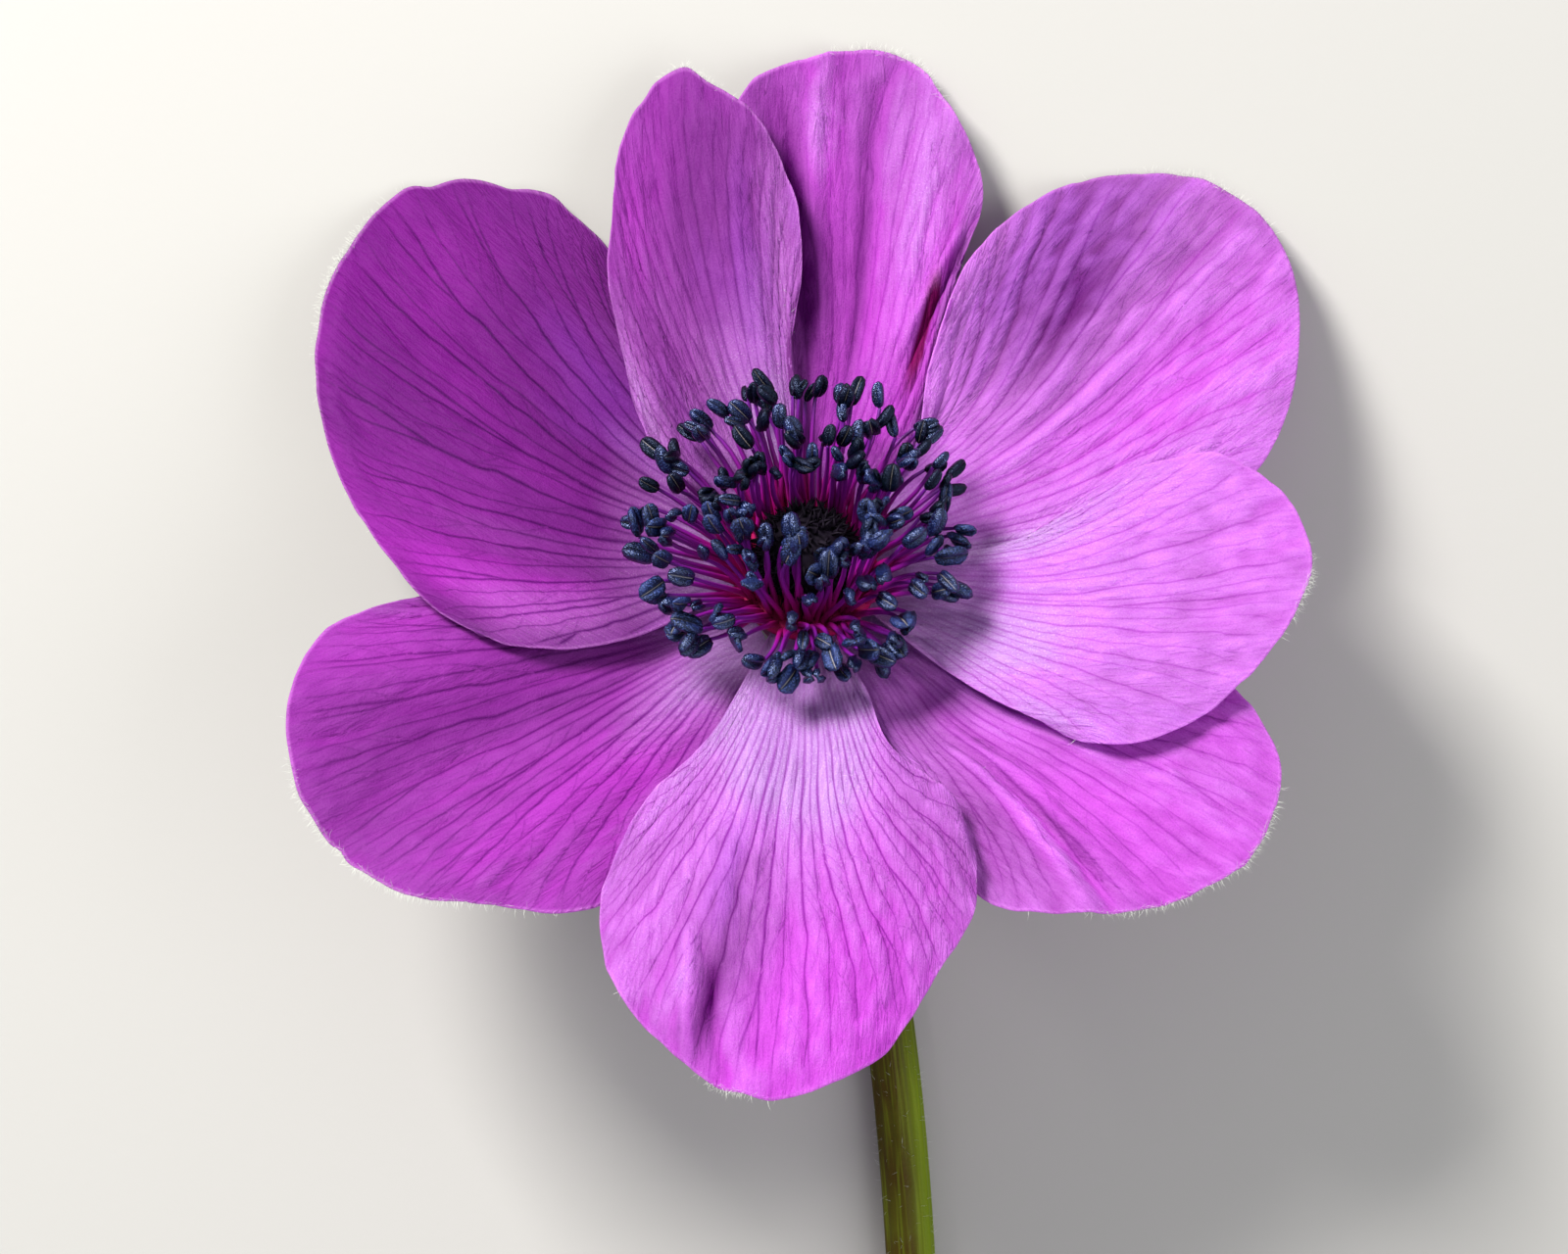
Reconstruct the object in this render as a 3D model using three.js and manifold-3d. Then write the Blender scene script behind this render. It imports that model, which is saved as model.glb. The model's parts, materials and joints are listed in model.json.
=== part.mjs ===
// Cut poppy anemone, lying on its back with the open bloom looking up.
//
// Frame: millimetres, +Z up, the bloom toward +Y and the stem lying toward -Y.
// The flower rests on three low places: the flat underside of the stem and the
// rims of the two upper side petals. The origin is the middle of the footprint,
// on the surface that the flower lies on.
//
// The bloom has a frame of its own, tilted back on the bent neck: its axis is
// local +Z and its height 0 is where the lowest petals leave the receptacle.

import * as THREE from "three";
import { mergeVertices } from "three/addons/utils/BufferGeometryUtils.js";
import Module from "manifold-3d";

const wasm = await Module();
wasm.setup();

const degrees = THREE.MathUtils.degToRad;

// ---------------------------------------------------------------- dimensions

const BLOOM_TILT = 28; // how far the bloom leans away from straight up, toward +Y
const BLOOM_HEIGHT = 9.34; // height of the lowest petals' roots above the surface
const SEAT_GAP = 0.3; // clearance between pieces that sit on each other

const PETAL_ROOT_RADIUS = 4.2;
const PETAL_ROOT_WIDTH = 4.6;
const PETAL_THICKNESS = 0.62;
const PETAL_REACH = 38; // the radius at which the bowl has its full depth
const BOWL_DEPTH = 7;
const BOWL_SOFTNESS = 20; // how slowly the bowl flattens out toward the rim
const LAYER_STEP = 1.15; // lift from one layer of petals to the next, at the root
const LAYER_SPREAD = 0.05; // and how much it grows for each millimetre outward
const SIDE_SHARE = 0.2; // share of a petal's outline that is one of its sides
const PETAL_ROWS = 10;
const PETAL_COLUMNS = 14;

const RECEPTACLE_RADIUS = PETAL_ROOT_RADIUS - SEAT_GAP;
const RECEPTACLE_TOP = 2.6;
const RECEPTACLE_FOOT = -0.4;
const RECEPTACLE_TAPER = 4.2;

const NECK_LENGTH = 3.6; // straight stretch below the petals' roots
const STEM_RADIUS = 1.84;
const STEM_FLAT_WIDTH = 2; // of the underside that the stem lies on
const STEM_LENGTH = 95; // along the axis, from the receptacle's top to the cut
const STEM_SWAY = 9; // how far the lying stem drifts toward +X
const STEM_SWAY_LENGTH = 20;
const STEM_SWAY_EASE = 8;
const STEM_SIDES = 14;
const STEM_STEPS = 28;

const COLLAR_RADIUS = 5.3;
const COLLAR_TOP = 4.4;
const COLLAR_SIDES = 24;

const STAMEN_COUNT = 92;
const STAMEN_SEED = 17;
const STAMEN_ROOTS = [4.35, 5.0]; // radius of the innermost and outermost roots
const STAMEN_LEANS = [-2, 52]; // degrees away from the bloom's axis
const STAMEN_LENGTHS = [9.4, 8.6]; // root to the anther's middle
const STAMEN_BEND = 0.2; // how much less the foot leans, and how much more the top
const STAMEN_STRAY = { azimuth: 0.12, lean: 5, length: 1.4 }; // radians, degrees, mm
const STAMEN_SINK = 0.5; // how deep a filament's foot stands in the collar
const FILAMENT_RADII = [0.27, 0.19];
const ANTHER_LENGTH = 2.7;
const ANTHER_WIDTH = 1.3;

const PISTIL_RADIUS = 3.3;
const PISTIL_HEIGHT = 5.8;
const PISTIL_SIDES = 18;
const STYLE_COUNT = 72;
const STYLE_LENGTH = 1.1;
const STYLE_RADIUS = 0.3;
const STYLE_SINK = 0.25;
const STYLE_SPREAD = 0.92; // share of the dome's side that carries styles

// Each petal's outline runs in its own plan, in millimetres: the first number is
// the distance outward along the petal's bearing, the second the distance across
// it. It starts and ends at the root. The layer is 0 for the petals at the back,
// and 2 for those nearest the viewer. Over the common bowl, a petal's tip rises by
// rise, its two sides by cup, and its rim's sides by curl; lean and twist lift one
// side and drop the other, and arch lifts its middle.
const PETALS = {
  petal_right: {
    bearing: 3, layer: 2, rise: -2.7, cup: 0.8, lean: 0.3, arch: -0.6, curl: -0.1, twist: 0,
    pleatPhase: 0.1,
    outline: [[10, -10], [15.5, -14.5], [21.5, -17.5], [27.5, -15.5], [32.5, -11.5], [36, -5],
      [34.5, 2], [29.5, 6], [23, 5], [17.5, 1.5], [11.5, -0.5]],
  },
  petal_right_upper: {
    bearing: 42, layer: 1, rise: -4.35, cup: 2.5, lean: 0.5, arch: -0.6, curl: 2.7, twist: 0.2,
    pleatPhase: 0.4,
    outline: [[9, -9.5], [15.5, -14], [23.5, -16.5], [32, -16], [40, -10], [44.5, -2],
      [42, 5.5], [35, 10], [26, 10], [18, 6], [11.5, 1.5]],
  },
  petal_top_wide: {
    bearing: 85, layer: 0, rise: 4.5, cup: -1.6, lean: 0.8, arch: 0.9, curl: -1.7, twist: 0,
    pleatPhase: 0.3,
    outline: [[9.5, -6.5], [17, -7.5], [24, -9], [30.5, -10.5], [37, -7], [40.5, -0.5],
      [37, 6.5], [30.5, 9.5], [23, 9], [16, 7.5], [9.5, 5]],
  },
  petal_top_narrow: {
    bearing: 104, layer: 2, rise: 0.3, cup: 0, lean: 0.1, arch: -0.4, curl: -1.2, twist: -0.5,
    pleatPhase: 0,
    outline: [[9, -2], [15.5, -2.5], [21.5, -5], [28.5, -6], [35, -4], [38, 1.5],
      [33, 6], [26.5, 8.5], [20, 9], [13, 9], [7, 6.5]],
  },
  petal_left_upper: {
    bearing: 142, layer: 1, rise: -3.8, cup: 1.8, lean: 0.3, arch: -0.3, curl: 0.8, twist: 0.1,
    pleatPhase: 0.7,
    outline: [[11, -3.5], [19, -7], [27.5, -11.5], [35.5, -11.5], [42.5, -6], [42, 3],
      [37, 11], [29, 17], [20, 20], [11.5, 18.5], [6, 12]],
  },
  petal_left_lower: {
    bearing: 207, layer: 0, rise: -1.1, cup: 0.9, lean: 0.6, arch: 0.2, curl: 0, twist: -0.1,
    pleatPhase: 0.2,
    outline: [[11.5, -5], [18.5, -8], [26, -10.5], [33.5, -11], [39.5, -5], [41, 3],
      [38.5, 10.5], [32.5, 15], [26, 18.5], [19, 15.5], [11.5, 10]],
  },
  petal_bottom: {
    bearing: 267, layer: 2, rise: -5, cup: 1, lean: 0.3, arch: -0.4, curl: 1.2, twist: -0.1,
    pleatPhase: 0.5,
    outline: [[15, -6], [21.5, -10.5], [28.5, -13], [36.5, -11.5], [42, -6.5], [44.5, 0],
      [41.5, 6.5], [35, 10.5], [28, 13.5], [20.5, 12], [15, 6.5]],
  },
  petal_right_lower: {
    bearing: 326, layer: 0, rise: -0.3, cup: 1, lean: 0.2, arch: 0.9, curl: 0.2, twist: 0.2,
    pleatPhase: 0.8,
    outline: [[13, -8], [19.5, -12.5], [26, -16], [32, -13.5], [37, -9], [40, -3],
      [38, 4.5], [32, 8], [25.5, 7], [19, 4.5], [12.5, 2.5]],
  },
};
const PLEAT_COUNT = 3; // shallow lengthwise folds in each petal
const PLEAT_DEPTH = 0.25;

// ----------------------------------------------------------------- materials

const petalSkin = new THREE.MeshStandardMaterial({ color: 0xb455c4, roughness: 0.55, metalness: 0 });
const stamenSkin = new THREE.MeshStandardMaterial({ color: 0x1f2238, roughness: 0.5, metalness: 0 });
const pistilSkin = new THREE.MeshStandardMaterial({ color: 0x1a1018, roughness: 0.7, metalness: 0 });
const stemSkin = new THREE.MeshStandardMaterial({ color: 0x6f7a3c, roughness: 0.6, metalness: 0 });

// ------------------------------------------------------------------- helpers

const lerp = THREE.MathUtils.lerp;
const GOLDEN_ANGLE = Math.PI * (3 - Math.sqrt(5)); // the turn from one to the next in a spiral

// A repeatable stream of numbers from 0 to 1.
function seededRandom(seed) {
  let state = seed;
  return () => {
    state = (state * 1664525 + 1013904223) % 4294967296;
    return state / 4294967296;
  };
}

function geometryFrom(points, triangles) {
  const geometry = new THREE.BufferGeometry();
  geometry.setAttribute("position", new THREE.Float32BufferAttribute(points.flat(), 3));
  geometry.setIndex(triangles.flat());
  geometry.computeVertexNormals();
  return geometry;
}

// A closed skin over rings of points, all with the same number of points and each
// turning counterclockwise as seen from the last ring. A ring of one point is a tip.
function loft(rings) {
  const points = rings.flat();
  const starts = rings.map((ring, i) => rings.slice(0, i).reduce((sum, r) => sum + r.length, 0));
  const triangles = [];
  const fan = (start, count, apex, flipped) => {
    for (let i = 0; i < count; i += 1) {
      const a = start + i;
      const b = start + ((i + 1) % count);
      triangles.push(flipped ? [b, a, apex] : [a, b, apex]);
    }
  };
  const cap = (ring, start, flipped) => {
    if (ring.length === 1) return;
    const middle = ring.reduce((sum, p) => sum.map((c, k) => c + p[k] / ring.length), [0, 0, 0]);
    points.push(middle);
    fan(start, ring.length, points.length - 1, flipped);
  };
  cap(rings[0], starts[0], true);
  for (let i = 0; i + 1 < rings.length; i += 1) {
    const [low, high] = [rings[i], rings[i + 1]];
    if (low.length === 1) {
      fan(starts[i + 1], high.length, starts[i], true);
    } else if (high.length === 1) {
      fan(starts[i], low.length, starts[i + 1], false);
    } else {
      for (let k = 0; k < low.length; k += 1) {
        const next = (k + 1) % low.length;
        const [a, b] = [starts[i] + k, starts[i] + next];
        const [c, d] = [starts[i + 1] + next, starts[i + 1] + k];
        triangles.push([a, b, c], [a, c, d]);
      }
    }
  }
  cap(rings.at(-1), starts.at(-1), false);
  return geometryFrom(points, triangles);
}

function toSolid(geometry) {
  const bare = new THREE.BufferGeometry();
  bare.setAttribute("position", geometry.getAttribute("position"));
  bare.setIndex(geometry.getIndex());
  const merged = mergeVertices(bare, 1e-5);
  return new wasm.Manifold(new wasm.Mesh({
    numProp: 3,
    vertProperties: new Float32Array(merged.getAttribute("position").array),
    triVerts: new Uint32Array(merged.getIndex().array),
  }));
}

function fuse(geometries) {
  const joined = geometries.map(toSolid).reduce((sum, solid) => sum.add(solid)).getMesh();
  const geometry = new THREE.BufferGeometry();
  geometry.setAttribute("position", new THREE.BufferAttribute(joined.vertProperties, 3));
  geometry.setIndex(new THREE.BufferAttribute(joined.triVerts, 1));
  geometry.computeVertexNormals();
  return geometry;
}

function named(name, geometry, material) {
  const mesh = new THREE.Mesh(geometry, material);
  mesh.name = name;
  return mesh;
}

// -------------------------------------------------------------------- petals

const bowl = (radius) => {
  const fall = (distance) => 1 - Math.exp(-distance / BOWL_SOFTNESS);
  return (BOWL_DEPTH * fall(radius - PETAL_ROOT_RADIUS)) / fall(PETAL_REACH - PETAL_ROOT_RADIUS);
};

// Where a petal's skin is in plan: u runs from the root to the tip, v from one side
// to the other. The four edges are pieces of the outline, and the inside is blended
// from them.
function petalPlan(outline, u, v) {
  const along = (share) => outline.getPoint(share);
  const end = 1 - SIDE_SHARE;
  const corners = [along(0), along(1), along(SIDE_SHARE), along(end)];
  const sides = [along(SIDE_SHARE * u), along(1 - SIDE_SHARE * u)];
  const root = new THREE.Vector2().lerpVectors(corners[0], corners[1], v);
  const tip = along(lerp(SIDE_SHARE, end, v));
  const across = new THREE.Vector2().lerpVectors(sides[0], sides[1], v);
  const lengthwise = new THREE.Vector2().lerpVectors(root, tip, u);
  const low = new THREE.Vector2().lerpVectors(corners[0], corners[1], v);
  const high = new THREE.Vector2().lerpVectors(corners[2], corners[3], v);
  return across.add(lengthwise).sub(low.lerp(high, u));
}

function petalHeight(petal, u, v, radius) {
  const side = 2 * v - 1;
  const lift = petal.layer * (LAYER_STEP + LAYER_SPREAD * (radius - PETAL_ROOT_RADIUS));
  const pleat = Math.sin(2 * Math.PI * (PLEAT_COUNT * v + petal.pleatPhase));
  return bowl(radius) + lift
    + petal.rise * u ** 3
    + petal.arch * Math.sin(Math.PI * u)
    + petal.cup * side ** 2 * u
    + petal.curl * side ** 2 * u ** 4
    + petal.lean * side * u
    + petal.twist * side * u ** 4
    + PLEAT_DEPTH * pleat * u ** 2;
}

function petalPoint(petal, u, v) {
  const plan = petalPlan(petal.curve, u, v);
  return new THREE.Vector3(plan.x, plan.y, petalHeight(petal, u, v, plan.length()));
}

// The direction straight out of a petal's upper face.
function petalNormal(petal, u, v) {
  const step = 0.01;
  const [u0, u1] = [Math.max(u - step, 0), Math.min(u + step, 1)];
  const [v0, v1] = [Math.max(v - step, 0), Math.min(v + step, 1)];
  const lengthwise = petalPoint(petal, u1, v).sub(petalPoint(petal, u0, v));
  const across = petalPoint(petal, u, v1).sub(petalPoint(petal, u, v0));
  return lengthwise.cross(across).normalize();
}

function petalGeometry(petal) {
  const faces = [-0.5, 0.5].map((offset) => {
    const grid = [];
    for (let i = 0; i <= PETAL_ROWS; i += 1) {
      for (let j = 0; j <= PETAL_COLUMNS; j += 1) {
        const [u, v] = [i / PETAL_ROWS, j / PETAL_COLUMNS];
        const normal = petalNormal(petal, u, v).multiplyScalar(offset * PETAL_THICKNESS);
        grid.push(petalPoint(petal, u, v).add(normal).toArray());
      }
    }
    return grid;
  });
  const size = faces[0].length;
  const at = (i, j) => i * (PETAL_COLUMNS + 1) + j;
  const triangles = [];
  for (let i = 0; i < PETAL_ROWS; i += 1) {
    for (let j = 0; j < PETAL_COLUMNS; j += 1) {
      const [a, b, c, d] = [at(i, j), at(i + 1, j), at(i + 1, j + 1), at(i, j + 1)];
      triangles.push([size + a, size + b, size + c], [size + a, size + c, size + d]);
      triangles.push([a, c, b], [a, d, c]);
    }
  }
  const rim = [];
  for (let j = 0; j < PETAL_COLUMNS; j += 1) rim.push(at(0, j));
  for (let i = 0; i < PETAL_ROWS; i += 1) rim.push(at(i, PETAL_COLUMNS));
  for (let j = PETAL_COLUMNS; j > 0; j -= 1) rim.push(at(PETAL_ROWS, j));
  for (let i = PETAL_ROWS; i > 0; i -= 1) rim.push(at(i, 0));
  rim.forEach((a, k) => {
    const b = rim[(k + 1) % rim.length];
    triangles.push([a, size + a, size + b], [a, size + b, b]);
  });
  return geometryFrom(faces.flat(), triangles);
}

function makePetal(name, petal) {
  const root = PETAL_ROOT_WIDTH / 2;
  const ends = [[PETAL_ROOT_RADIUS, -root], [PETAL_ROOT_RADIUS, root]];
  const outline = [ends[0], ...petal.outline, ends[1]].map((point) => new THREE.Vector2(...point));
  const curve = new THREE.SplineCurve(outline);
  const mesh = named(name, petalGeometry({ ...petal, curve }), petalSkin);
  mesh.rotation.z = degrees(petal.bearing);
  return mesh;
}

// ------------------------------------------------------------------- stamens

// The ring that carries the stamens, over the petals' roots.
function collar() {
  const underside = RECEPTACLE_TOP + SEAT_GAP;
  const profile = [
    [0, underside],
    [PETAL_ROOT_RADIUS, underside + 0.05],
    [COLLAR_RADIUS, underside + 0.65],
    [COLLAR_RADIUS, COLLAR_TOP - 0.3],
    [COLLAR_RADIUS - 0.3, COLLAR_TOP],
    [0, COLLAR_TOP],
  ].map(([radius, height]) => new THREE.Vector2(radius, height));
  const ring = new THREE.LatheGeometry(profile, COLLAR_SIDES);
  ring.rotateX(Math.PI / 2);
  return ring;
}

// A frame whose third axis is the given direction.
function frameAlong(direction, roll) {
  const turn = new THREE.Quaternion().setFromUnitVectors(new THREE.Vector3(0, 0, 1), direction);
  return turn.multiply(new THREE.Quaternion().setFromAxisAngle(new THREE.Vector3(0, 0, 1), roll));
}

// One stamen in a single skin: a slim filament with a knee half way up, and at its
// top two pollen sacs side by side, with the groove between them on one face.
function stamen(root, knee, top, directions, roll) {
  const filament = [[0.8, -0.6], [0.9, 0.4], [0, 1], [-0.9, 0.4], [-0.8, -0.6]];
  const sacs = [[1, -0.25], [0.6, 0.5], [0, 0.15], [-0.6, 0.5], [-1, -0.25]];
  const half = ANTHER_WIDTH / 2;
  const ring = (centre, direction, section, size, lift) => {
    const turn = frameAlong(direction, roll);
    return section.map(([x, y]) => new THREE.Vector3(x * size, y * size, lift)
      .applyQuaternion(turn).add(centre).toArray());
  };
  const [low, middle, high] = directions;
  return loft([
    ring(root, low, filament, FILAMENT_RADII[0], 0),
    ring(knee, middle, filament, lerp(...FILAMENT_RADII, 0.5), 0),
    ring(top, high, filament, FILAMENT_RADII[1], -0.5 * ANTHER_LENGTH),
    ring(top, high, sacs, half, -0.26 * ANTHER_LENGTH),
    ring(top, high, sacs, half, 0.26 * ANTHER_LENGTH),
    ring(top, high, [[0, 0]], 0, 0.5 * ANTHER_LENGTH),
  ]);
}

// Stamens stand in a spiral around the collar: the inner ones upright along the
// pistil, the outer ones bent outward over the petals.
function stamens() {
  const random = seededRandom(STAMEN_SEED);
  const spread = (size) => size * (random() - 0.5);
  const pieces = [collar()];
  for (let i = 0; i < STAMEN_COUNT; i += 1) {
    const share = (i + 0.5) / STAMEN_COUNT;
    const azimuth = i * GOLDEN_ANGLE + spread(STAMEN_STRAY.azimuth);
    const outward = new THREE.Vector3(Math.cos(azimuth), Math.sin(azimuth), 0);
    const lean = degrees(lerp(...STAMEN_LEANS, share ** 0.8) + spread(STAMEN_STRAY.lean) * share);
    const length = lerp(...STAMEN_LENGTHS, share) + spread(STAMEN_STRAY.length);
    const toward = (angle) => new THREE.Vector3(0, 0, Math.cos(angle))
      .addScaledVector(outward, Math.sin(angle));
    const directions = [-1, 0, 1].map((k) => toward(lean * (1 + k * STAMEN_BEND)));
    const root = outward.clone().multiplyScalar(lerp(...STAMEN_ROOTS, share));
    root.z = COLLAR_TOP - STAMEN_SINK;
    const knee = root.clone().addScaledVector(directions[0], length * 0.5);
    const top = knee.clone().addScaledVector(directions[2], length * 0.5);
    pieces.push(stamen(root, knee, top, directions, spread(2 * Math.PI)));
  }
  return fuse(pieces);
}

// -------------------------------------------------------------------- pistil

// A dome of many small carpels, each ending in a short pointed style.
function pistil() {
  const foot = COLLAR_TOP + SEAT_GAP;
  const profile = new THREE.SplineCurve([
    new THREE.Vector2(PISTIL_RADIUS * 0.8, foot),
    new THREE.Vector2(PISTIL_RADIUS, foot + PISTIL_HEIGHT * 0.3),
    new THREE.Vector2(PISTIL_RADIUS * 0.9, foot + PISTIL_HEIGHT * 0.62),
    new THREE.Vector2(PISTIL_RADIUS * 0.6, foot + PISTIL_HEIGHT * 0.88),
    new THREE.Vector2(0, foot + PISTIL_HEIGHT),
  ]);
  const dome = new THREE.LatheGeometry([new THREE.Vector2(0, foot), ...profile.getPoints(8)], PISTIL_SIDES);
  dome.rotateX(Math.PI / 2);
  const pieces = [dome];
  for (let i = 0; i < STYLE_COUNT; i += 1) {
    const share = Math.sqrt((i + 0.5) / STYLE_COUNT);
    const place = profile.getPoint(1 - STYLE_SPREAD * share);
    const outward = new THREE.Vector3(Math.cos(i * GOLDEN_ANGLE), Math.sin(i * GOLDEN_ANGLE), 0);
    const slope = profile.getTangent(1 - STYLE_SPREAD * share);
    const direction = outward.clone().multiplyScalar(slope.y).setZ(-slope.x).normalize();
    const skin = outward.multiplyScalar(place.x).setZ(place.y);
    const base = skin.clone().addScaledVector(direction, -STYLE_SINK);
    const tip = skin.clone().addScaledVector(direction, STYLE_LENGTH / 2);
    tip.z += STYLE_LENGTH / 4;
    const turn = frameAlong(direction, i);
    const ring = [0, 1, 2].map((k) => {
      const angle = (2 * Math.PI * k) / 3;
      return new THREE.Vector3(STYLE_RADIUS * Math.cos(angle), STYLE_RADIUS * Math.sin(angle), 0)
        .applyQuaternion(turn).add(base).toArray();
    });
    pieces.push(loft([ring, [tip.toArray()]]));
  }
  return fuse(pieces);
}

// ---------------------------------------------------------------------- stem

const tilt = degrees(BLOOM_TILT);
const bloomAxis = new THREE.Vector3(0, Math.sin(tilt), Math.cos(tilt));
const bendTurn = Math.PI / 2 - tilt; // the neck turns from the bloom's axis to level
const stemAxisHeight = Math.sqrt(STEM_RADIUS ** 2 - (STEM_FLAT_WIDTH / 2) ** 2);
const neckStart = new THREE.Vector3(0, 0, BLOOM_HEIGHT).addScaledVector(bloomAxis, -NECK_LENGTH);
const bendRadius = (neckStart.z - stemAxisHeight) / (1 - Math.cos(bendTurn));

// The stem's axis, by the distance along it from the receptacle's top.
function stemAxis(distance) {
  const straight = RECEPTACLE_TOP + NECK_LENGTH;
  const bent = bendRadius * bendTurn;
  const point = neckStart.clone();
  if (distance < straight) {
    point.addScaledVector(bloomAxis, straight - distance);
  } else {
    const turned = Math.min((distance - straight) / bendRadius, bendTurn);
    point.y -= bendRadius * (Math.sin(bendTurn) - Math.sin(bendTurn - turned));
    point.z -= bendRadius * (Math.cos(bendTurn - turned) - Math.cos(bendTurn));
    point.y -= Math.max(distance - straight - bent, 0);
  }
  const run = Math.max(neckStart.y - point.y, 0);
  const eased = run ** 2 / (run + STEM_SWAY_EASE);
  point.x = STEM_SWAY * (1 - Math.exp(-eased / STEM_SWAY_LENGTH));
  return point;
}

function stemRadius(distance) {
  const below = distance - (RECEPTACLE_TOP - RECEPTACLE_FOOT);
  const taper = THREE.MathUtils.smoothstep(below, 0, RECEPTACLE_TAPER);
  return lerp(RECEPTACLE_RADIUS, STEM_RADIUS, taper);
}

// Points around the stem, seen along it: the first and the last are the two edges
// of the flat underside, and the rest share the round part evenly.
function stemSection(radius) {
  const halfFlat = Math.asin(STEM_FLAT_WIDTH / 2 / STEM_RADIUS);
  const round = 2 * (Math.PI - halfFlat);
  return Array.from({ length: STEM_SIDES }, (_, k) => {
    const angle = -Math.PI / 2 + halfFlat + (round * k) / (STEM_SIDES - 1);
    return [radius * Math.cos(angle), radius * Math.sin(angle)];
  });
}

function stem() {
  const up = new THREE.Vector3(0, 0, 1);
  const headSteps = 9; // the receptacle and the neck need closer rings
  const bendEnd = RECEPTACLE_TOP + NECK_LENGTH + bendRadius * bendTurn;
  const stations = [];
  for (let i = 0; i <= headSteps; i += 1) stations.push((i / headSteps) * (RECEPTACLE_TOP + NECK_LENGTH));
  const rest = STEM_STEPS - headSteps;
  for (let i = 1; i <= rest; i += 1) {
    const share = i / rest;
    const bendShare = 0.35;
    stations.push(share < bendShare
      ? lerp(RECEPTACLE_TOP + NECK_LENGTH, bendEnd, share / bendShare)
      : lerp(bendEnd, STEM_LENGTH, (share - bendShare) / (1 - bendShare)));
  }
  const rings = stations.map((distance) => {
    const centre = stemAxis(distance);
    const tangent = stemAxis(distance + 0.05).sub(stemAxis(Math.max(distance - 0.05, 0))).normalize();
    const across = new THREE.Vector3().crossVectors(up, tangent).normalize();
    const back = new THREE.Vector3().crossVectors(tangent, across);
    return stemSection(stemRadius(distance)).map(([x, y]) => centre.clone()
      .addScaledVector(across, x).addScaledVector(back, y).toArray());
  });
  return loft(rings);
}

// ------------------------------------------------------------------ assembly

const bloom = new THREE.Group();
bloom.rotation.x = -tilt;
bloom.position.z = BLOOM_HEIGHT;
Object.entries(PETALS).forEach(([name, petal]) => bloom.add(makePetal(name, petal)));
bloom.add(named("stamens", stamens(), stamenSkin));
bloom.add(named("pistil", pistil(), pistilSkin));

const flower = new THREE.Group();
flower.add(bloom, named("stem", stem(), stemSkin));

// The origin goes to the middle of the footprint, on the surface.
flower.updateMatrixWorld(true);
const extent = new THREE.Box3().setFromObject(flower, true);
const middle = extent.getCenter(new THREE.Vector3());
flower.position.set(-middle.x, -middle.y, -extent.min.z);

export default flower;
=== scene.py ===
"""Dresses a cut poppy anemone that lies on its back: thin veined petals, stamens with
two-sacked anthers, a felted pistil and a downy stem, on a plain pale floor.

Sizes in the petals' tables are millimetres; everything that Blender gets is metres.
"""

import json
import math

import bpy
import numpy as np
from bpy.props import (
    FloatProperty,
    FloatVectorProperty,
    IntProperty,
    PointerProperty,
)
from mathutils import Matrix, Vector

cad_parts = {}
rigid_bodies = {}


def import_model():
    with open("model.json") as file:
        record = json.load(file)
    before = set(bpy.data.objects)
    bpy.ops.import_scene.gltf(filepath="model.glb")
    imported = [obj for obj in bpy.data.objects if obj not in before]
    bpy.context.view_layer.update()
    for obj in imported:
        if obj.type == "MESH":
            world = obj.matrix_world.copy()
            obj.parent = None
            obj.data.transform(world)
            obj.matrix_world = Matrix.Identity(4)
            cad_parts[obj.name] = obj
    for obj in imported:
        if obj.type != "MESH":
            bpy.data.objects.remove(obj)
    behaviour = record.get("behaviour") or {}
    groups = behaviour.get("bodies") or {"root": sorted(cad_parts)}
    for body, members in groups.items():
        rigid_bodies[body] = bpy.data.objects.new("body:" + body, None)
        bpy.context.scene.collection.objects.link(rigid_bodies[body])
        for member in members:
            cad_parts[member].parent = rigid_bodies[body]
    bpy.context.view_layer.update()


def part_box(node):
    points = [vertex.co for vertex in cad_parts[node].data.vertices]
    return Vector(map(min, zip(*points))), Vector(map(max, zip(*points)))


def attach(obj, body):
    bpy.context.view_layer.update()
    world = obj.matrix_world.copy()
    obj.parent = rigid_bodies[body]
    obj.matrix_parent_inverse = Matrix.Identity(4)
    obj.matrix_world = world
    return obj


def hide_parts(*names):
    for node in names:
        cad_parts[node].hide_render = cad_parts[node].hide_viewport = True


bl_info = {
    "name": "Poppy anemone bloom",
    "version": (1, 0, 0),
    "blender": (4, 5, 0),
    "location": "3D View > Sidebar > Anemone",
    "description": "Petals, stamens, pistil, stem and down of a cut anemone",
    "category": "Object",
}

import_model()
MM = 0.001
GOLDEN_ANGLE = math.pi * (3 - math.sqrt(5))

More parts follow.
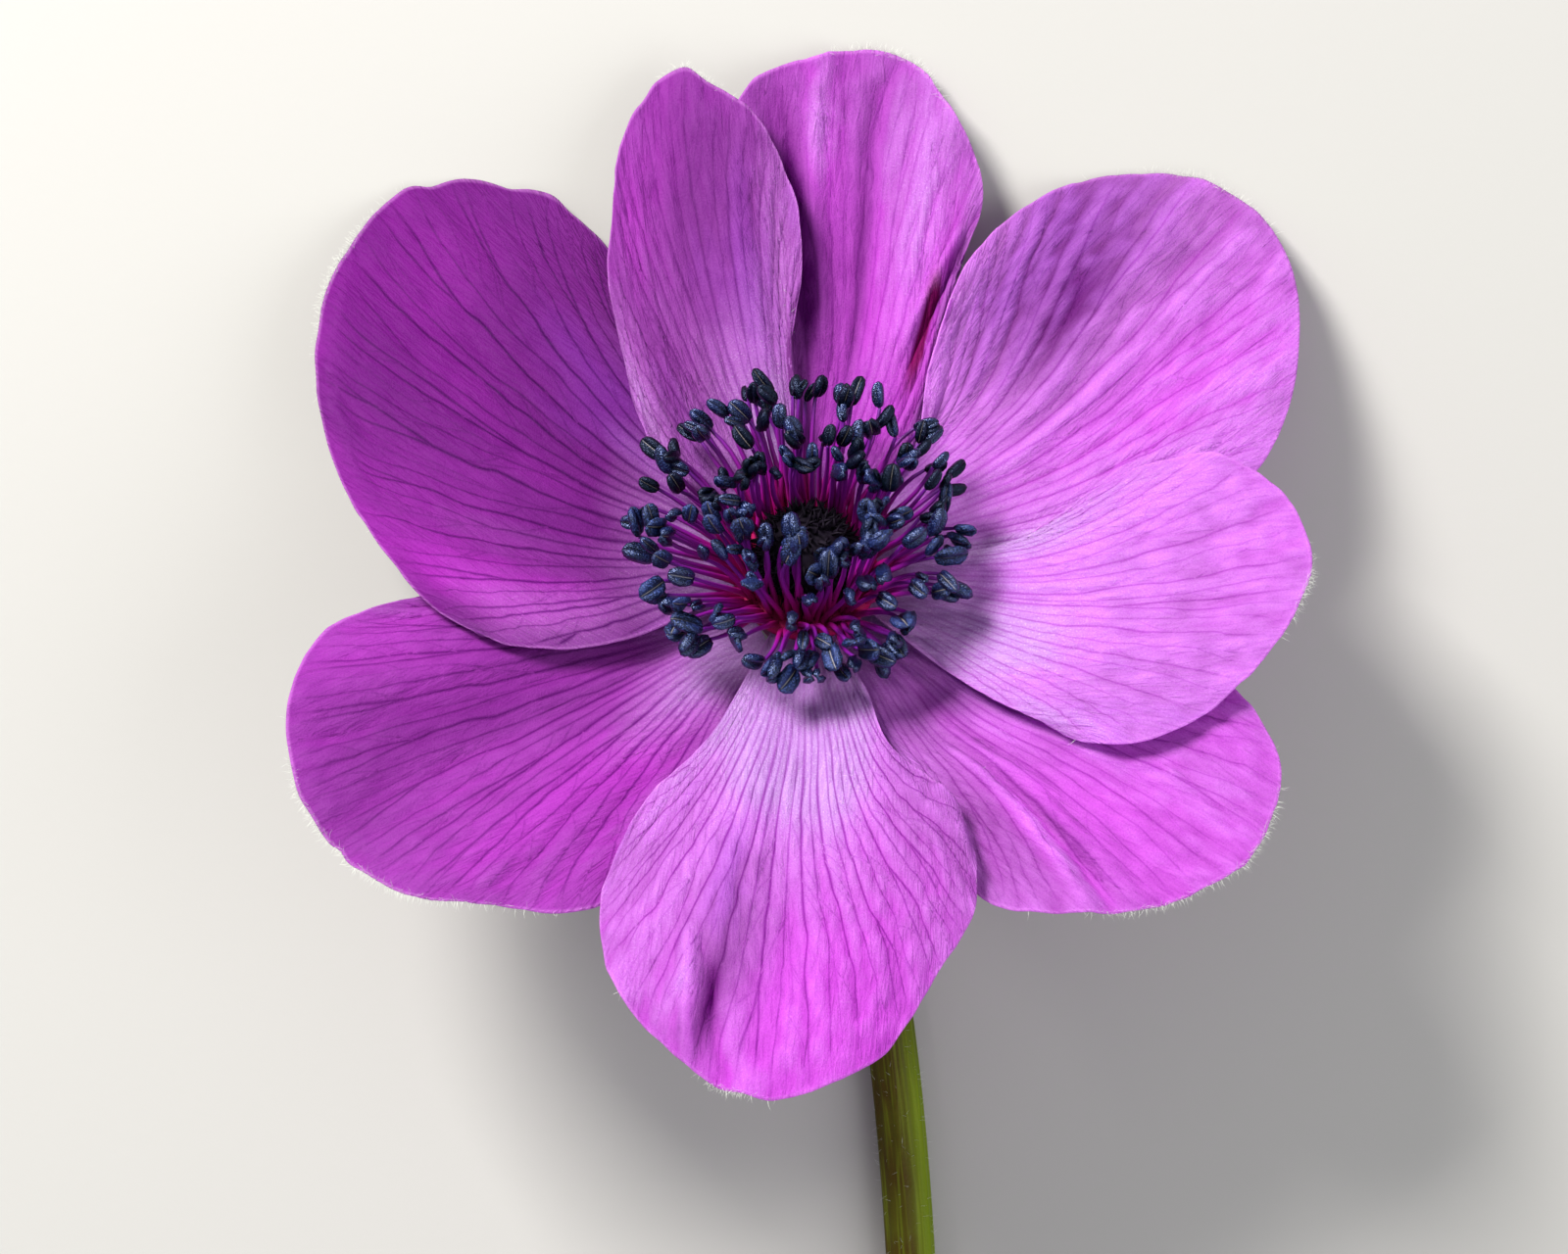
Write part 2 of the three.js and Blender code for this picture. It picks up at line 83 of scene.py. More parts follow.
# The petals' outlines in their own plans, from root to tip and back, as distances
# outward along the bearing and across it, and how each one rises over the bowl.
PETALS = {
    "petal_right": dict(
        bearing=3, layer=2, rise=-2.7, cup=0.8, lean=0.3, arch=-0.6, curl=-0.1, twist=0, pleat_phase=0.1,
        outline=((10, -10), (15.5, -14.5), (21.5, -17.5), (27.5, -15.5), (32.5, -11.5), (36, -5),
                 (34.5, 2), (29.5, 6), (23, 5), (17.5, 1.5), (11.5, -0.5)),
    ),
    "petal_right_upper": dict(
        bearing=42, layer=1, rise=-4.35, cup=2.5, lean=0.5, arch=-0.6, curl=2.7, twist=0.2, pleat_phase=0.4,
        outline=((9, -9.5), (15.5, -14), (23.5, -16.5), (32, -16), (40, -10), (44.5, -2),
                 (42, 5.5), (35, 10), (26, 10), (18, 6), (11.5, 1.5)),
    ),
    "petal_top_wide": dict(
        bearing=85, layer=0, rise=4.5, cup=-1.6, lean=0.8, arch=0.9, curl=-1.7, twist=0, pleat_phase=0.3,
        outline=((9.5, -6.5), (17, -7.5), (24, -9), (30.5, -10.5), (37, -7), (40.5, -0.5),
                 (37, 6.5), (30.5, 9.5), (23, 9), (16, 7.5), (9.5, 5)),
    ),
    "petal_top_narrow": dict(
        bearing=104, layer=2, rise=0.3, cup=0, lean=0.1, arch=-0.4, curl=-1.2, twist=-0.5, pleat_phase=0,
        outline=((9, -2), (15.5, -2.5), (21.5, -5), (28.5, -6), (35, -4), (38, 1.5),
                 (33, 6), (26.5, 8.5), (20, 9), (13, 9), (7, 6.5)),
    ),
    "petal_left_upper": dict(
        bearing=142, layer=1, rise=-3.8, cup=1.8, lean=0.3, arch=-0.3, curl=0.8, twist=0.1, pleat_phase=0.7,
        outline=((11, -3.5), (19, -7), (27.5, -11.5), (35.5, -11.5), (42.5, -6), (42, 3),
                 (37, 11), (29, 17), (20, 20), (11.5, 18.5), (6, 12)),
    ),
    "petal_left_lower": dict(
        bearing=207, layer=0, rise=-1.1, cup=0.9, lean=0.6, arch=0.2, curl=0, twist=-0.1, pleat_phase=0.2,
        outline=((11.5, -5), (18.5, -8), (26, -10.5), (33.5, -11), (39.5, -5), (41, 3),
                 (38.5, 10.5), (32.5, 15), (26, 18.5), (19, 15.5), (11.5, 10)),
    ),
    "petal_bottom": dict(
        bearing=267, layer=2, rise=-5, cup=1, lean=0.3, arch=-0.4, curl=1.2, twist=-0.1, pleat_phase=0.5,
        outline=((15, -6), (21.5, -10.5), (28.5, -13), (36.5, -11.5), (42, -6.5), (44.5, 0),
                 (41.5, 6.5), (35, 10.5), (28, 13.5), (20.5, 12), (15, 6.5)),
    ),
    "petal_right_lower": dict(
        bearing=326, layer=0, rise=-0.3, cup=1, lean=0.2, arch=0.9, curl=0.2, twist=0.2, pleat_phase=0.8,
        outline=((13, -8), (19.5, -12.5), (26, -16), (32, -13.5), (37, -9), (40, -3),
                 (38, 4.5), (32, 8), (25.5, 7), (19, 4.5), (12.5, 2.5)),
    ),
}

# How each petal is coloured and creased. depth is how deep its violet is: partly the petal's
# own colour and partly painted shade, which makes the petals on the left the deepest. pale is
# how far its pale foot reaches along it, veins how dark they are and crease how deep the folds
# between them go. Places on a petal are (along, across), each a share: along from its root
# to its tip, across from its right side to its left, seen from the bloom's middle.
# tints are (along, across, length, width, amount), pale above 0 and deep below it; the pale and
# deep tints laid along some folds are painted highlight and painted shade.
# flushes are the same, lilac below 0, magenta up to 1 and crimson above it; the crimson is partly
# the rolled margin's own colour and partly painted shade inside it.
# crinkles are the same, with a height in mm.
# folds are (along, across) at both ends, height in mm and width in mm.
# rim is (share of the outline, mm outward, share that it spreads over).
# fuzz is (across, width) of the tufts along the tip.
PETAL_LOOKS = {
    "petal_right": dict(
        depth=0.24, pale=0.68, veins=0.6, crease=0.8, seed=11,
        tints=((0.35, 0.25, 0.22, 0.2, 0.7), (0.45, 0.85, 0.3, 0.15, 0.5), (0.3, 0.5, 0.15, 0.2, -0.25),
               (0.8, 0.04, 0.3, 0.08, 0.7), (0.8, 0.9, 0.35, 0.16, 0.5)),
        flushes=((0.9, 0.5, 0.3, 0.2, 0.25),),
        crinkles=((0.85, 0.85, 0.2, 0.15, 0.07),),
        folds=((0.3, 0.5, 0.75, 0.47, -0.25, 1.2),),
        rim=((0.53, 0.3, 0.06),),
        fuzz=((0.47, 0.05),),
    ),
    "petal_right_upper": dict(
        depth=0.27, pale=0.3, veins=0.65, crease=1.0, seed=12,
        tints=((0.4, 0.12, 0.25, 0.14, 0.9), (0.8, 0.74, 0.35, 0.18, -0.6),
               (0.62, 0.66, 0.15, 0.08, -0.3), (0.8, 0.3, 0.35, 0.2, 0.2), (0.8, 0.94, 0.4, 0.07, 0.45)),
        flushes=((0.7, 0.4, 0.4, 0.12, 0.3), (0.5, 0.4, 0.5, 0.3, 0.3), (0.8, 0.75, 0.3, 0.2, -0.4)),
        crinkles=((0.85, 0.7, 0.3, 0.22, 0.1),),
        folds=((0.35, 0.5, 0.9, 0.52, 0.45, 1.0), (0.4, 0.6, 0.95, 0.61, 0.5, 1.1),
               (0.45, 0.7, 0.9, 0.7, 0.45, 1.0), (0.5, 0.8, 0.9, 0.79, 0.4, 0.9),
               (0.35, 0.4, 0.8, 0.42, -0.3, 1.1)),
        rim=((0.68, 0.25, 0.05), (0.45, 0.1, 0.05)),
        fuzz=((0.6, 0.06),),
    ),
    "petal_top_wide": dict(
        depth=0.55, pale=0.2, veins=0.5, crease=1.0, seed=13,
        # Painted in these tints: a highlight on the ridge at (0.83, 0.55), shade beside it at (0.66, 0.6) and
        # (0.62, 0.46), and shade along the rolled margin at (0.62, 0.225), (0.74, 0.19) and (0.5, 0.23).
        tints=((0.5, 0.56, 0.3, 0.1, -0.5), (0.75, 0.33, 0.3, 0.1, 0.55), (0.9, 0.7, 0.3, 0.09, -0.4),
               (0.83, 0.55, 0.14, 0.03, 0.85), (0.66, 0.6, 0.22, 0.045, -1.0), (0.62, 0.46, 0.22, 0.02, -0.6),
               (0.62, 0.225, 0.06, 0.025, -0.9), (0.74, 0.19, 0.08, 0.02, -0.7),
               (0.5, 0.23, 0.1, 0.02, -0.8)),
        # The flushes at (0.6, 0.22) and (0.62, 0.225) turn the rolled margin crimson: partly its own colour,
        # partly painted shade inside it.
        flushes=((0.6, 0.22, 0.35, 0.1, 0.9), (0.62, 0.225, 0.12, 0.03, 1.3), (0.45, 0.5, 0.5, 0.35, 0.8)),
        crinkles=((0.85, 0.45, 0.2, 0.3, 0.08),),
        folds=((0.4, 0.45, 0.9, 0.44, -0.5, 1.3), (0.7, 0.56, 0.93, 0.545, 0.6, 0.9),
               (0.5, 0.33, 0.9, 0.32, 0.3, 1.2), (0.575, 0.275, 0.85, 0.2, 0.55, 0.45),
               (0.56, 0.235, 0.8, 0.17, -0.6, 0.6)),
        rim=((0.6, 0.15, 0.04), (0.455, 0.75, 0.03), (0.53, -0.3, 0.02)),
        fuzz=((0.42, 0.07),),
    ),
    "petal_top_narrow": dict(
        depth=0.74, pale=0.48, veins=0.6, crease=0.8, seed=14,
        tints=((0.45, 0.3, 0.3, 0.25, 0.35), (0.8, 0.46, 0.3, 0.1, -0.5), (0.85, 0.18, 0.3, 0.12, 0.35),
               (0.8, 0.94, 0.35, 0.1, 0.6)),
        flushes=((0.9, 0.6, 0.2, 0.15, 0.4), (0.6, 0.3, 0.3, 0.2, -0.3)),
        crinkles=((0.8, 0.3, 0.3, 0.15, 0.07),),
        folds=((0.35, 0.5, 0.95, 0.5, -0.25, 1.2), (0.4, 0.38, 0.9, 0.36, 0.25, 1.2),
               (0.35, 0.3, 0.9, 0.42, 0.2, 1.0)),
        rim=((0.485, 0.55, 0.03), (0.475, 0.3, 0.01), (0.55, 0.3, 0.03), (0.64, -0.3, 0.03)),
        fuzz=((0.45, 0.04),),
    ),
    "petal_left_upper": dict(
        depth=0.9, pale=0.35, veins=1.0, crease=0.6, seed=15,
        tints=((0.8, 0.46, 0.35, 0.18, -0.6), (0.6, 0.93, 0.4, 0.1, 0.2), (0.97, 0.6, 0.03, 0.09, 0.3),
               (0.5, 0.2, 0.3, 0.2, 0.12)),
        flushes=((0.75, 0.88, 0.35, 0.1, 0.7), (0.75, 0.5, 0.4, 0.3, 0.35), (0.45, 0.25, 0.3, 0.15, -0.5)),
        crinkles=((0.9, 0.6, 0.15, 0.3, 0.06),),
        folds=((0.3, 0.6, 0.9, 0.6, 0.25, 1.4), (0.965, 0.53, 0.945, 0.69, 0.5, 1.2)),
        rim=((0.315, 0.55, 0.02), (0.345, -0.2, 0.01), (0.37, 0.4, 0.02), (0.398, -0.35, 0.009),
             (0.41, 0.3, 0.012), (0.72, -0.3, 0.05)),
        fuzz=((0.48, 0.08),),
    ),
    "petal_left_lower": dict(
        depth=0.72, pale=0.3, veins=0.95, crease=0.9, seed=16,
        tints=((0.28, 0.75, 0.15, 0.2, 0.4), (0.6, 0.4, 0.4, 0.16, -0.6), (0.9, 0.5, 0.15, 0.1, -0.3)),
        flushes=((0.7, 0.82, 0.45, 0.28, 0.3), (0.6, 0.5, 0.6, 0.5, 0.5), (0.9, 0.2, 0.2, 0.2, 0.2),
                 (0.6, 0.45, 0.4, 0.1, -0.15)),
        crinkles=((0.85, 0.6, 0.2, 0.3, 0.08),),
        folds=((0.25, 0.42, 0.9, 0.41, -0.4, 1.2), (0.25, 0.51, 0.97, 0.53, -0.4, 1.1),
               (0.4, 0.34, 0.9, 0.33, 0.3, 1.3)),
        rim=((0.6, 0.12, 0.05), (0.53, -0.25, 0.006)),
        fuzz=((0.5, 0.06), (0.68, 0.1)),
    ),
    "petal_bottom": dict(
        depth=0.43, pale=0.46, veins=0.95, crease=1.0, seed=17,
        # Painted in these tints: a highlight on the crumple's ridge at (0.87, 0.335) and shade beside the
        # ridges at (0.68, 0.385) and (0.86, 0.385).
        tints=((0.25, 0.5, 0.22, 0.5, 0.8), (0.68, 0.385, 0.22, 0.055, -0.4),
               (0.7, 0.25, 0.3, 0.07, 0.25), (0.86, 0.385, 0.11, 0.02, -0.75),
               (0.87, 0.335, 0.06, 0.014, 0.5), (0.6, 0.05, 0.4, 0.08, 0.5), (0.5, 0.75, 0.3, 0.2, 0.25)),
        flushes=((0.9, 0.6, 0.35, 0.3, 0.7), (0.6, 0.65, 0.5, 0.25, 0.35), (0.66, 0.37, 0.25, 0.09, -0.45)),
        crinkles=((0.88, 0.33, 0.08, 0.07, 0.2), (0.85, 0.6, 0.2, 0.3, 0.05)),
        folds=((0.4, 0.35, 0.88, 0.37, 0.7, 2.2), (0.4, 0.5, 0.8, 0.5, -0.4, 1.2),
               (0.35, 0.585, 0.75, 0.59, -0.3, 1.1), (0.82, 0.33, 0.93, 0.36, 0.9, 0.8),
               (0.84, 0.39, 0.94, 0.42, -0.6, 0.7)),
        rim=((0.38, -0.25, 0.03), (0.33, 0.15, 0.03), (0.95, 0.5, 0.02)),
        fuzz=((0.44, 0.03),),
    ),
    "petal_right_lower": dict(
        depth=0.3, pale=0.3, veins=0.65, crease=1.0, seed=18,
        # Painted in these tints: a highlight on a ridge at (0.76, 0.27), shade in the valley beside it at
        # (0.74, 0.315) and shade in the valley along the bottom petal's edge at (0.7, 0.18).
        tints=((0.3, 0.5, 0.2, 0.4, -0.3), (0.7, 0.18, 0.3, 0.1, -0.35), (0.4, 0.45, 0.06, 0.05, 0.5),
               (0.76, 0.27, 0.2, 0.02, 0.5), (0.74, 0.315, 0.2, 0.02, -0.5)),
        flushes=((0.75, 0.35, 0.4, 0.2, 0.7), (0.85, 0.8, 0.2, 0.2, 0.7), (0.7, 0.5, 0.4, 0.5, 0.3)),
        crinkles=((0.7, 0.27, 0.25, 0.1, 0.1),),
        folds=((0.5, 0.265, 0.92, 0.25, 0.7, 0.7), (0.42, 0.34, 0.86, 0.32, 0.6, 0.7),
               (0.55, 0.3, 0.9, 0.285, -0.4, 0.5), (0.5, 0.14, 0.85, 0.12, -0.4, 1.4)),
        rim=((0.5, 0.1, 0.04), (0.07, 1.3, 0.03)),
        fuzz=((0.5, 0.08), (0.33, 0.06)),
    ),
}

# The bloom's common form, in millimetres, as the solids have it.
BLOOM_TILT = 28  # degrees that the bloom leans away from straight up, toward +Y
BLOOM_HEIGHT = 9.34  # of the bloom's own origin above the floor
SEAT_GAP = 0.3  # clearance between pieces that sit on each other
ROOT_RADIUS = 4.2
ROOT_WIDTH = 4.6
PETAL_REACH = 38  # the radius at which the bowl has its full depth
BOWL_DEPTH = 7
BOWL_SOFTNESS = 20  # how slowly the bowl flattens out toward the rim
LAYER_STEP = 1.15  # lift from one layer of petals to the next, at the root
LAYER_SPREAD = 0.05  # and how much it grows for each millimetre outward
SIDE_SHARE = 0.2  # share of a petal's outline that is one of its sides
PLEAT_COUNT = 3  # shallow lengthwise folds in each petal
PLEAT_DEPTH = 0.25

RECEPTACLE_RADIUS = 3.9
RECEPTACLE_TOP = 2.6
RECEPTACLE_FOOT = -0.4
RECEPTACLE_TAPER = 4.2
NECK_LENGTH = 3.6  # straight stretch below the petals' roots
STEM_RADIUS = 1.84
STEM_FLAT_WIDTH = 2  # of the underside that the stem lies on
STEM_LENGTH = 95  # along the axis, from the receptacle's top to the cut
STEM_SWAY = 9  # how far the lying stem drifts toward +X
STEM_SWAY_LENGTH = 20
STEM_SWAY_EASE = 8
COLLAR_TOP = 4.4
COLLAR_RADIUS = 5.3

# How a blade's skin departs from that form.
RELAX_ROUNDS = 400  # how often the strips along a petal's sides are evened out
RIM_WAVES = ((0.16, 23, 200), (0.09, 61, 0))  # the rim's wobble: mm, noise cells, seed
RIM_THICKNESS = 0.35  # share of the blade's thickness that its rim has
RIM_TAPER = 1.2  # mm from the rim inward over which the blade gets its full thickness
# The skin's unevenness: height as a share of the creases', noise cells across and along the
# petal, seed, and the places along the petal where it starts and where it is full.
SKIN_WAVES = (
    (1.5, 9, 2.2, 80, 0.35, 0.75),
    (0.8, 24, 6, 120, 0.25, 0.7),
    (0.7, 52, 26, 140, 0.25, 0.6),
)
LAST_FORK = 0.93  # the place along the petal past which no vein forks and no link starts
VEIN_STEP = 0.45  # mm between a vein's points
VEIN_DARKNESS = (1.0, 0.9, 0.75, 0.34)  # by rank, from the main veins to the finest
VEIN_WIDTHS = (1.0, 0.85, 0.65, 0.45)  # by rank as well
RIDGE_PAINTED_LIGHT = 2.5  # painted light: tone by each millimetre that a fold stands over its neighbours, paler on a ridge and deeper in a valley
VALLEY_PAINTED_SHADE = 2.2  # painted shade: flush by each millimetre that a place lies below its neighbours, magenta in a valley and a little lilac on a ridge


# ---------------------------------------------------------------- user settings


def count_setting(label, description, default, least=0):
    return IntProperty(name=label, description=description, default=default, min=least)


def number_setting(label, description, default):
    return FloatProperty(name=label, description=description, default=default)


def length_setting(label, description, default):
    return FloatProperty(
        name=label, description=description, default=default, subtype="DISTANCE", precision=6
    )


def colour_setting(label, description, *default):
    return FloatVectorProperty(name=label, description=description, default=default, subtype="COLOR")


class PetalSettings(bpy.types.PropertyGroup):
    rows: count_setting("Rows", "Faces from a petal's root to its tip", 140, least=10)
    columns: count_setting("Columns", "Faces across a petal", 160, least=10)
    thickness: length_setting("Thickness", "Thickness of a petal's blade", 0.0003)
    crease: length_setting("Crease height", "Height of the folds between veins", 0.00016)
    main_veins: count_setting("Main veins", "Strong veins that leave a petal's root", 16, least=1)
    cross_veins: count_setting("Cross veins", "Fine links between veins", 110)
    vein_gap: length_setting("Vein gap", "Strip that a vein feeds before it forks", 0.00115)
    vein_width: length_setting("Vein width", "Width of a main vein's dark line", 0.00042)
    vein_fan: number_setting("Vein fan", "How much the outer veins spread out to the side rims", 0.3)
    vein_lift: length_setting("Vein lift", "How far a vein stands out of the skin", 0.000018)
    light_violet: colour_setting("Light violet", "Colour of the palest blades", 0.76, 0.325, 0.86)
    deep_violet: colour_setting("Deep violet", "Colour of the darkest blades", 0.13, 0.0015, 0.165)
    pale_foot: colour_setting("Pale foot", "Colour where the blade leaves the root", 0.62, 0.38, 0.73)
    magenta: colour_setting("Magenta flush", "Colour of the brightest places", 0.66, 0.042, 0.70)
    # The crimson is partly the rolled margin's own colour and partly painted shade inside it.
    crimson: colour_setting("Crimson flush", "Colour inside the rolled margins", 0.24, 0.003, 0.12)
    lilac: colour_setting("Lilac", "Colour of the cooler places", 0.33, 0.08, 0.66)
    light_vein: colour_setting("Light veins", "How the veins tint the palest blades", 0.62, 0.08, 0.66)
    vein: colour_setting("Veins", "How the veins darken the darkest blades", 0.28, 0.05, 0.36)


class StamenSettings(bpy.types.PropertyGroup):
    count: count_setting("Count", "Stamens around the pistil", 205, least=1)
    seed: count_setting("Seed", "Seed of the stamens' places", 59)
    foot_radius: length_setting("Foot radius", "Radius of a filament at its foot", 0.00027)
    top_radius: length_setting("Top radius", "Radius of a filament under its anther", 0.00013)
    anther_length: length_setting("Anther length", "Length of a pollen sac", 0.0022)
    anther_width: length_setting("Anther width", "Width of the two sacs together", 0.0014)
    filament: colour_setting("Filaments", "Colour of the filaments", 0.17, 0.003, 0.19)
    sac: colour_setting("Sacs", "Colour of the pollen sacs", 0.0006, 0.0009, 0.004)
    pollen: colour_setting("Pollen", "Colour of the pollen on the sacs", 0.06, 0.1, 0.31)
    seam: colour_setting("Seam", "Colour of the groove between the sacs", 0.16, 0.14, 0.13)


class PistilSettings(bpy.types.PropertyGroup):
    radius: length_setting("Radius", "Radius of the dome", 0.0033)
    height: length_setting("Height", "Height of the dome", 0.0058)
    style_length: length_setting("Style length", "Length of a carpel's style", 0.0009)
    felt: colour_setting("Felt", "Colour of the felted dome", 0.004, 0.002, 0.006)


class StemSettings(bpy.types.PropertyGroup):
    rings: count_setting("Rings", "Faces along the stem", 300, least=10)
    sides: count_setting("Sides", "Faces around the stem", 56, least=10)
    rib: length_setting("Ribs", "Height of the ribs", 0.00004)
    green: colour_setting("Green", "Colour of the stem's lit side", 0.085, 0.12, 0.003)
    olive: colour_setting("Olive", "Colour of its flushed side", 0.038, 0.023, 0.001)


class DownSettings(bpy.types.PropertyGroup):
    length: length_setting("Hair length", "Length of the silky hairs", 0.0007)
    thickness: length_setting("Hair thickness", "Radius of a hair at its root", 0.000013)
    petal_density: number_setting(
        "Petal hairs", "Hairs on a square metre of a petal's downy back", 6.0e6
    )
    stem_density: number_setting("Stem hairs", "Hairs on a square metre of the stem", 0.9e6)
    colour: colour_setting("Hair", "Colour of the hairs", 0.46, 0.48, 0.42)


class StageSettings(bpy.types.PropertyGroup):
    floor: colour_setting("Floor", "Colour of the floor", 0.25, 0.245, 0.23)
    pixel: length_setting(
        "Scale", "Width of one photograph pixel at the petals' roots", 0.000072
    )
    distance: length_setting("Distance", "Height of the camera over the petals' roots", 0.6)


# ------------------------------------------------------------------ bloom frame


def ease(value, low, high):
    """A smooth step from 0 at low to 1 at high."""
    share = np.clip((value - low) / (high - low), 0, 1)
    return share * share * (3 - 2 * share)


class Bloom:
    """Where the bloom stands in the part, worked out from the stem's solid."""

    tilt = math.radians(BLOOM_TILT)
    root_height = BLOOM_HEIGHT
    axis = np.array([0, math.sin(tilt), math.cos(tilt)])
    turn = math.pi / 2 - tilt
    stem_height = math.sqrt(STEM_RADIUS**2 - (STEM_FLAT_WIDTH / 2) ** 2)
    neck = np.array([0, 0, root_height]) - NECK_LENGTH * axis
    bend = (neck[2] - stem_height) / (1 - math.cos(turn))
    straight = RECEPTACLE_TOP + NECK_LENGTH

    @classmethod
    def stem_axis(cls, distance):
        """The stem's axis by the distance from the receptacle's top, petals' roots at x = y = 0."""
        distance = np.asarray(distance, float)
        head = np.maximum(cls.straight - distance, 0)
        turned = np.clip((distance - cls.straight) / cls.bend, 0, cls.turn)
        flat = np.maximum(distance - cls.straight - cls.bend * cls.turn, 0)
        point = cls.neck + head[..., None] * cls.axis
        point[..., 1] -= cls.bend * (math.sin(cls.turn) - np.sin(cls.turn - turned)) + flat
        point[..., 2] -= cls.bend * (np.cos(cls.turn - turned) - math.cos(cls.turn))
        run = np.maximum(cls.neck[1] - point[..., 1], 0)
        eased = run**2 / (run + STEM_SWAY_EASE)
        point[..., 0] = STEM_SWAY * (1 - np.exp(-eased / STEM_SWAY_LENGTH))
        return point

    @classmethod
    def place(cls):
        """Millimetres from the bloom's own origin on the floor to the part's."""
        low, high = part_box("stem")
        end = cls.stem_axis(np.array([STEM_LENGTH]))[0]
        return np.array([high.x / MM - STEM_RADIUS - end[0], low.y / MM - end[1], 0])

    @classmethod
    def to_part(cls, points):
        """Points of the tilted bloom, in millimetres, in the part's metres."""
        x, y, height = points[..., 0], points[..., 1], points[..., 2]
        sin, cos = math.sin(cls.tilt), math.cos(cls.tilt)
        stood = np.stack([x, y * cos + height * sin, cls.root_height - y * sin + height * cos], -1)
        return (stood + cls.place()) * MM


# ------------------------------------------------------------------ mesh helpers


def new_piece(name, points, faces, materials=(), edges=(), smooth=True):
    """A mesh object at the origin, with its place in its mesh."""
    mesh = bpy.data.meshes.new(name)
    mesh.from_pydata([tuple(p) for p in np.asarray(points, float)], edges, faces)
    mesh.update()
    for material in materials:
        mesh.materials.append(material)
    mesh.polygons.foreach_set("use_smooth", [smooth] * len(mesh.polygons))
    piece = bpy.data.objects.new(name, mesh)
    bpy.context.scene.collection.objects.link(piece)
    return piece


def grid_faces(rows, columns, start=0, flip=False, closed=False):
    """Quads over a grid of points; closed joins the last column to the first."""
    width = columns if closed else columns + 1
    faces = []
    for i in range(rows):
        for j in range(columns):
            a = start + i * width + j
            b = start + i * width + (j + 1) % width
            c, d = b + width, a + width
            faces.append((a, d, c, b) if flip else (a, b, c, d))
    return faces


def point_values(piece, name, values, kind="FLOAT"):
    """Gives each point of a piece one value, for its material or a geometry tree to read."""
    layer = piece.data.attributes.new(name, kind, "POINT")
    number = np.int32 if kind == "INT" else np.float32
    layer.data.foreach_set("value", np.asarray(values, number).ravel())


def lattice_noise(x, y, seed):
    """Smooth noise from -1 to 1 over a plane."""
    table = np.random.RandomState(seed).uniform(-1, 1, (64, 64))
    x, y = np.broadcast_arrays(np.asarray(x, float), np.asarray(y, float))
    i, j = np.floor(x).astype(int), np.floor(y).astype(int)
    a, b = x - i, y - j
    a, b = a**3 * (a * (a * 6 - 15) + 10), b**3 * (b * (b * 6 - 15) + 10)
    at = lambda m, n: table[m % 64, n % 64]
    low = at(i, j) * (1 - a) + at(i + 1, j) * a
    high = at(i, j + 1) * (1 - a) + at(i + 1, j + 1) * a
    return low * (1 - b) + high * b


def finish_piece(piece, replaces=None):
    """Puts a piece in the root body and hides the solid that it replaces, if any."""
    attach(piece, "root")
    if replaces:
        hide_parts(replaces)


# --------------------------------------------------------------------- node help


class Nodes:
    """A geometry or shader tree, built by name."""

    def __init__(self, tree):
        self.tree = tree

    def add(self, kind, *links, **settings):
        """A node with its properties set; links go to its inputs in order."""
        node = self.tree.nodes.new(kind)
        values = settings.pop("inputs", {})
        for key, value in settings.items():
            setattr(node, key, value)
        for socket, link in zip(node.inputs, links):
            self.feed(socket, link)
        for key, value in values.items():
            self.feed(node.inputs[key], value)
        return node

    def feed(self, socket, value):
        if value is None:
            return
        if isinstance(value, bpy.types.Node):
            value = value.outputs[0]
        if isinstance(value, bpy.types.NodeSocket):
            self.tree.links.new(value, socket)
        else:
            socket.default_value = value


def new_group(kind, name, inputs, outputs):
    """A new node group with its sockets, its builder, and its input and output nodes.

    A socket is its name and type, and an input may have a default as well."""
    tree = bpy.data.node_groups.new(name, f"{kind}NodeTree")
    for way, sockets in (("INPUT", inputs), ("OUTPUT", outputs)):
        for label, socket_type, *default in sockets:
            socket = tree.interface.new_socket(label, in_out=way, socket_type=f"NodeSocket{socket_type}")
            if default:
                socket.default_value = default[0]
    nodes = Nodes(tree)
    return tree, nodes, nodes.add("NodeGroupInput"), nodes.add("NodeGroupOutput")


def math_node(nodes, operation, *values, clamp=False):
    return nodes.add("ShaderNodeMath", *values, operation=operation, use_clamp=clamp).outputs[0]


def point_value(nodes, name, kind="FLOAT"):
    """A value that point_values gave, in a geometry tree."""
    return nodes.add("GeometryNodeInputNamedAttribute", data_type=kind, inputs={"Name": name}).outputs[0]


def random_number(nodes, low, high):
    """A random number for each point."""
    node = nodes.add("FunctionNodeRandomValue", data_type="FLOAT")
    nodes.feed(node.inputs[2], low)
    nodes.feed(node.inputs[3], high)
    return node.outputs[1]


def random_turn(nodes, rotation, low, high, seed):
    """A rotation turned on, for each point, by random angles between two sets of three."""
    angles = nodes.add("FunctionNodeRandomValue", low, high, data_type="FLOAT_VECTOR", inputs={"Seed": seed})
    return nodes.add("FunctionNodeRotateRotation", rotation, angles.outputs[0], rotation_space="LOCAL")


def made_by(tree, carrier, name, values):
    """Runs a geometry tree on the carrier and returns the result as a plain mesh object."""
    modifier = carrier.modifiers.new("build", "NODES")
    modifier.node_group = tree
    for item in tree.interface.items_tree:
        if item.in_out == "INPUT" and item.name in values:
            modifier[item.identifier] = values[item.name]
    bpy.context.view_layer.update()
    depsgraph = bpy.context.evaluated_depsgraph_get()
    mesh = bpy.data.meshes.new_from_object(carrier.evaluated_get(depsgraph), depsgraph=depsgraph)
    mesh.name = name
    piece = bpy.data.objects.new(name, mesh)
    bpy.context.scene.collection.objects.link(piece)
    carrier.modifiers.remove(modifier)
    return piece


def drop(*objects):
    """Removes helper objects with their meshes."""
    for thing in objects:
        mesh = thing.data
        bpy.data.objects.remove(thing)
        bpy.data.meshes.remove(mesh)


